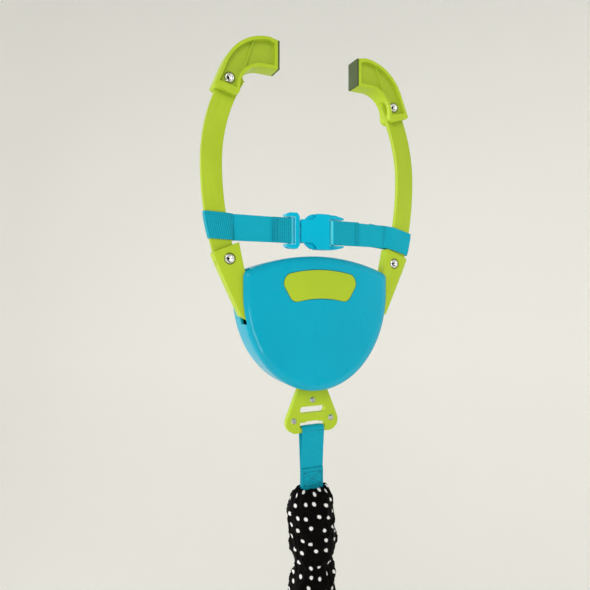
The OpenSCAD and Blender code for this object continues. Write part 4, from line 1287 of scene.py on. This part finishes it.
def bucket_sizes(share):
    """Half width, half depth and corner radius of the bucket at a share of its depth."""
    for (s0, *lost0), (s1, *lost1) in zip(BUCKET_RINGS, BUCKET_RINGS[1:]):
        if share <= s1 or s1 == 1.0:
            t = min(1.0, (share - s0) / (s1 - s0))
            lost = [a + (b - a) * t for a, b in zip(lost0, lost1)]
            break
    return [size - BUCKET_INSET - less * MM
            for size, less in zip((BAND_HIGH.x, BAND_HIGH.y, CORNER_R), lost)]


def bucket_smooth(share):
    """The same sizes averaged a little up and down, so that the cloth bends in a curve."""
    spread = [bucket_sizes(min(1, max(0, share + d * 0.03))) for d in range(-3, 4)]
    return [sum(v[k] for v in spread) / len(spread) for k in range(3)]


def make_bucket():
    """The bucket's cloth as one open shell with soft folds, and the loops round its legs."""
    low_z, seam_z, top_z = BUCKET_LOW.z, BAND_LOW.z, BUCKET_HIGH.z - 3 * MM
    depth = seam_z - low_z
    levels = [top_z - (top_z - seam_z) * i / 6 for i in range(6)]
    levels += [seam_z - depth * 0.985 * i / 46 for i in range(47)]
    samples = round_samples(3.6 * MM)
    around = len(samples)
    points, uv = [], []
    for z in levels:
        share = max(0.0, (seam_z - z) / depth)
        for sample, base, run in walked(samples, *bucket_smooth(share), z):
            spot = base * 15
            fold = 1 - abs(math.sin(3.2 * sample[2] + 2.1 * noise.noise(spot) + share * 2.2))
            soft = noise.fractal(spot * 1.4, 0.8, 2.0, 4)
            sag = -(1.5 + 2.4 * share) * MM * (0.35 + 0.65 * soft)
            points.append(base + heading_of(sample)
                          * (sag - 2.6 * MM * fold ** 4 * min(1, share * 4)))
            uv.append((run, z))
    ring = points[-around:]
    middle = sum(ring, Vector()) / around
    for size in BASE_RINGS:
        for p in ring:
            spot = middle + (p - middle) * size
            ripple = 0.8 * MM * noise.noise(spot * 40)
            points.append(Vector((spot.x, spot.y, low_z + 1.2 * MM + ripple
                                  + (p.z - low_z - 1.2 * MM) * size ** 3)))
            uv.append((spot.x, spot.y))
    rings = len(levels) + len(BASE_RINGS)
    last = (rings - 1) * around
    faces = band_faces(rings, around)
    faces += [(last + k, last + (k + 1) % around, len(points)) for k in range(around)]
    points.append(Vector((middle.x, middle.y, low_z + 1.4 * MM)))
    uv.append((0, 0))
    bucket = piece("bucket_cloth", points, faces, "seat", uv=uv)
    return bucket, open_legs(bucket)


def leg_off(place):
    """How far a place lies from the line through the middle of both legs' openings."""
    return math.hypot(place.y - LEG_Y, place.z - LEG_Z)


def open_legs(bucket):
    """Opens a round hole on each side and returns the loop of points round each."""
    work = bmesh.new()
    work.from_mesh(bucket.data)
    inside = [f for f in work.faces if leg_off(f.calc_center_median()) < LEG_R
              and abs(f.calc_center_median().x) > LEG_X]
    bmesh.ops.delete(work, geom=inside, context="FACES")
    loops = []
    for side in (-1, 1):
        rim = [v for v in work.verts if v.is_boundary and v.co.x * side > LEG_X
               and leg_off(v.co) < LEG_R * 1.25]
        for v in rim:
            reach = leg_off(v.co)
            v.co.y = LEG_Y + (v.co.y - LEG_Y) * LEG_R / reach
            v.co.z = LEG_Z + (v.co.z - LEG_Z) * LEG_R / reach
        rim.sort(key=lambda v: math.atan2(v.co.z - LEG_Z, v.co.y - LEG_Y))
        loops.append([v.co.copy() for v in rim])
    bmesh.ops.recalc_face_normals(work, faces=work.faces)
    work.to_mesh(bucket.data)
    work.free()
    return loops


def slumped(bucket):
    """Cloth simulation: the seat's cloth, sewn to the band and bound at its legs, hangs slack."""
    held = bucket.vertex_groups.new(name="held")
    for v in bucket.data.vertices:
        bound = leg_off(v.co) < LEG_R + 3 * MM and abs(v.co.x) > LEG_X
        held.add([v.index], 1.0 if bound or v.co.z > BAND_LOW.z - 3 * MM else 0.0, "REPLACE")
    step = bucket.modifiers.new("cloth", "CLOTH")
    for setting, value in SLUMP.items():
        setattr(step.settings, setting, value)
    step.collision_settings.use_self_collision = False
    step.point_cache.frame_start, step.point_cache.frame_end = 1, SLUMP_FRAMES
    for number in range(1, SLUMP_FRAMES + 1):
        bpy.context.scene.frame_set(number)
    baked(bucket)
    bpy.context.scene.frame_set(1)


def panel_seams(bucket):
    """Two rows of stitches down each corner of the bucket, laid on its slumped cloth."""
    bpy.context.view_layer.update()
    skin = BVHTree.FromObject(bucket, bpy.context.evaluated_depsgraph_get())
    lines = []
    for sx, sy in CORNERS:
        out = Vector((0.8 * sx, 0.6 * sy, 0))
        across = Vector((-out.y, out.x, 0))
        for shift in (-3 * MM, 3 * MM):
            line = []
            for i in range(40):
                start = out * 0.3 + across * shift + up(BAND_LOW.z - 4 * MM - i * 3.8 * MM)
                place, normal, index, distance = skin.ray_cast(start, -out)
                if place is not None and distance < 0.26:
                    line.append(place + out * 0.1 * MM)
            if len(line) > 2:
                lines.append(line)
    sewn("bucket_stitches", lines, "seat", length=3.0 * MM, gap=1.2 * MM, radius=0.32 * MM)


def finish_bucket(bucket):
    slumped(bucket)
    panel_seams(bucket)
    thickened(bucket, BUCKET_T)
    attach(bucket, "seat")
    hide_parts("seat_bucket")


def even_loop(points, count):
    """The same closed loop with evenly spaced points, smoothed once."""
    ring = [(points[i - 1] + points[i] * 2 + points[(i + 1) % len(points)]) / 4
            for i in range(len(points))]
    closed = ring + [ring[0]]
    total = path_length(closed)
    return [along_path(closed, total * i / count) for i in range(count)]


def make_cuffs(loops):
    for side, loop in zip(("left", "right"), loops):
        path = even_loop([p + Vector((0, LEG_Y - p.y, LEG_Z - p.z)).normalized() * 4.3 * MM
                          for p in loop], CUFF_STEPS)
        radii = [(5.6 + 0.5 * math.sin(i / CUFF_STEPS * 2 * math.pi * CUFF_GATHERS)
                  + 0.35 * noise.noise(p * 90)) * MM for i, p in enumerate(path)]
        cuff = tube(f"cuff_{side}", path, radii, "cuff", 18, "seat", closed=True)
        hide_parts(f"leg_cuff_{side}")


# ---- the whole jumper ----
make_camera()
make_stage()
make_light("key", (-0.9, -1.7, 0.9), (0, 0, -0.25), (1.4, 1.4), 21)
make_light("left_strip", (-1.7, 1.3, -0.1), (0, 0, -0.25), (0.5, 1.8), 32)
make_light("fill", (1.8, -1.2, -0.6), (0, 0, -0.6), (1.6, 2.2), 8.5)
make_light("low_front", (-1.0, -1.6, -1.0), (0, 0, -0.3), (0.3, 1.0), 10)
make_housing()
make_sockets()
make_badge()
make_clamp()
make_safety_strap(1, 19.5 * MM, 31 * MM, 66 * MM, -1, "right_clamp", "right_strap")
make_safety_strap(-1, 29.5 * MM, 18.5 * MM, 89 * MM, 1, "left_clamp", "left_strap")
softened("hanger_plate_front", "plate", 0.5 * MM)
softened("hanger_plate_back", "plate", 0.5 * MM)
make_drop_strap()
make_springs()
make_sleeve()
softened("spreader", "lime_matte", 1.2 * MM)
softened("strap_adjusters", "lime", 0.8 * MM)
make_seat_straps()
make_waist_band()
BUCKET, LEG_LOOPS = make_bucket()
finish_bucket(BUCKET)
make_cuffs(LEG_LOOPS)
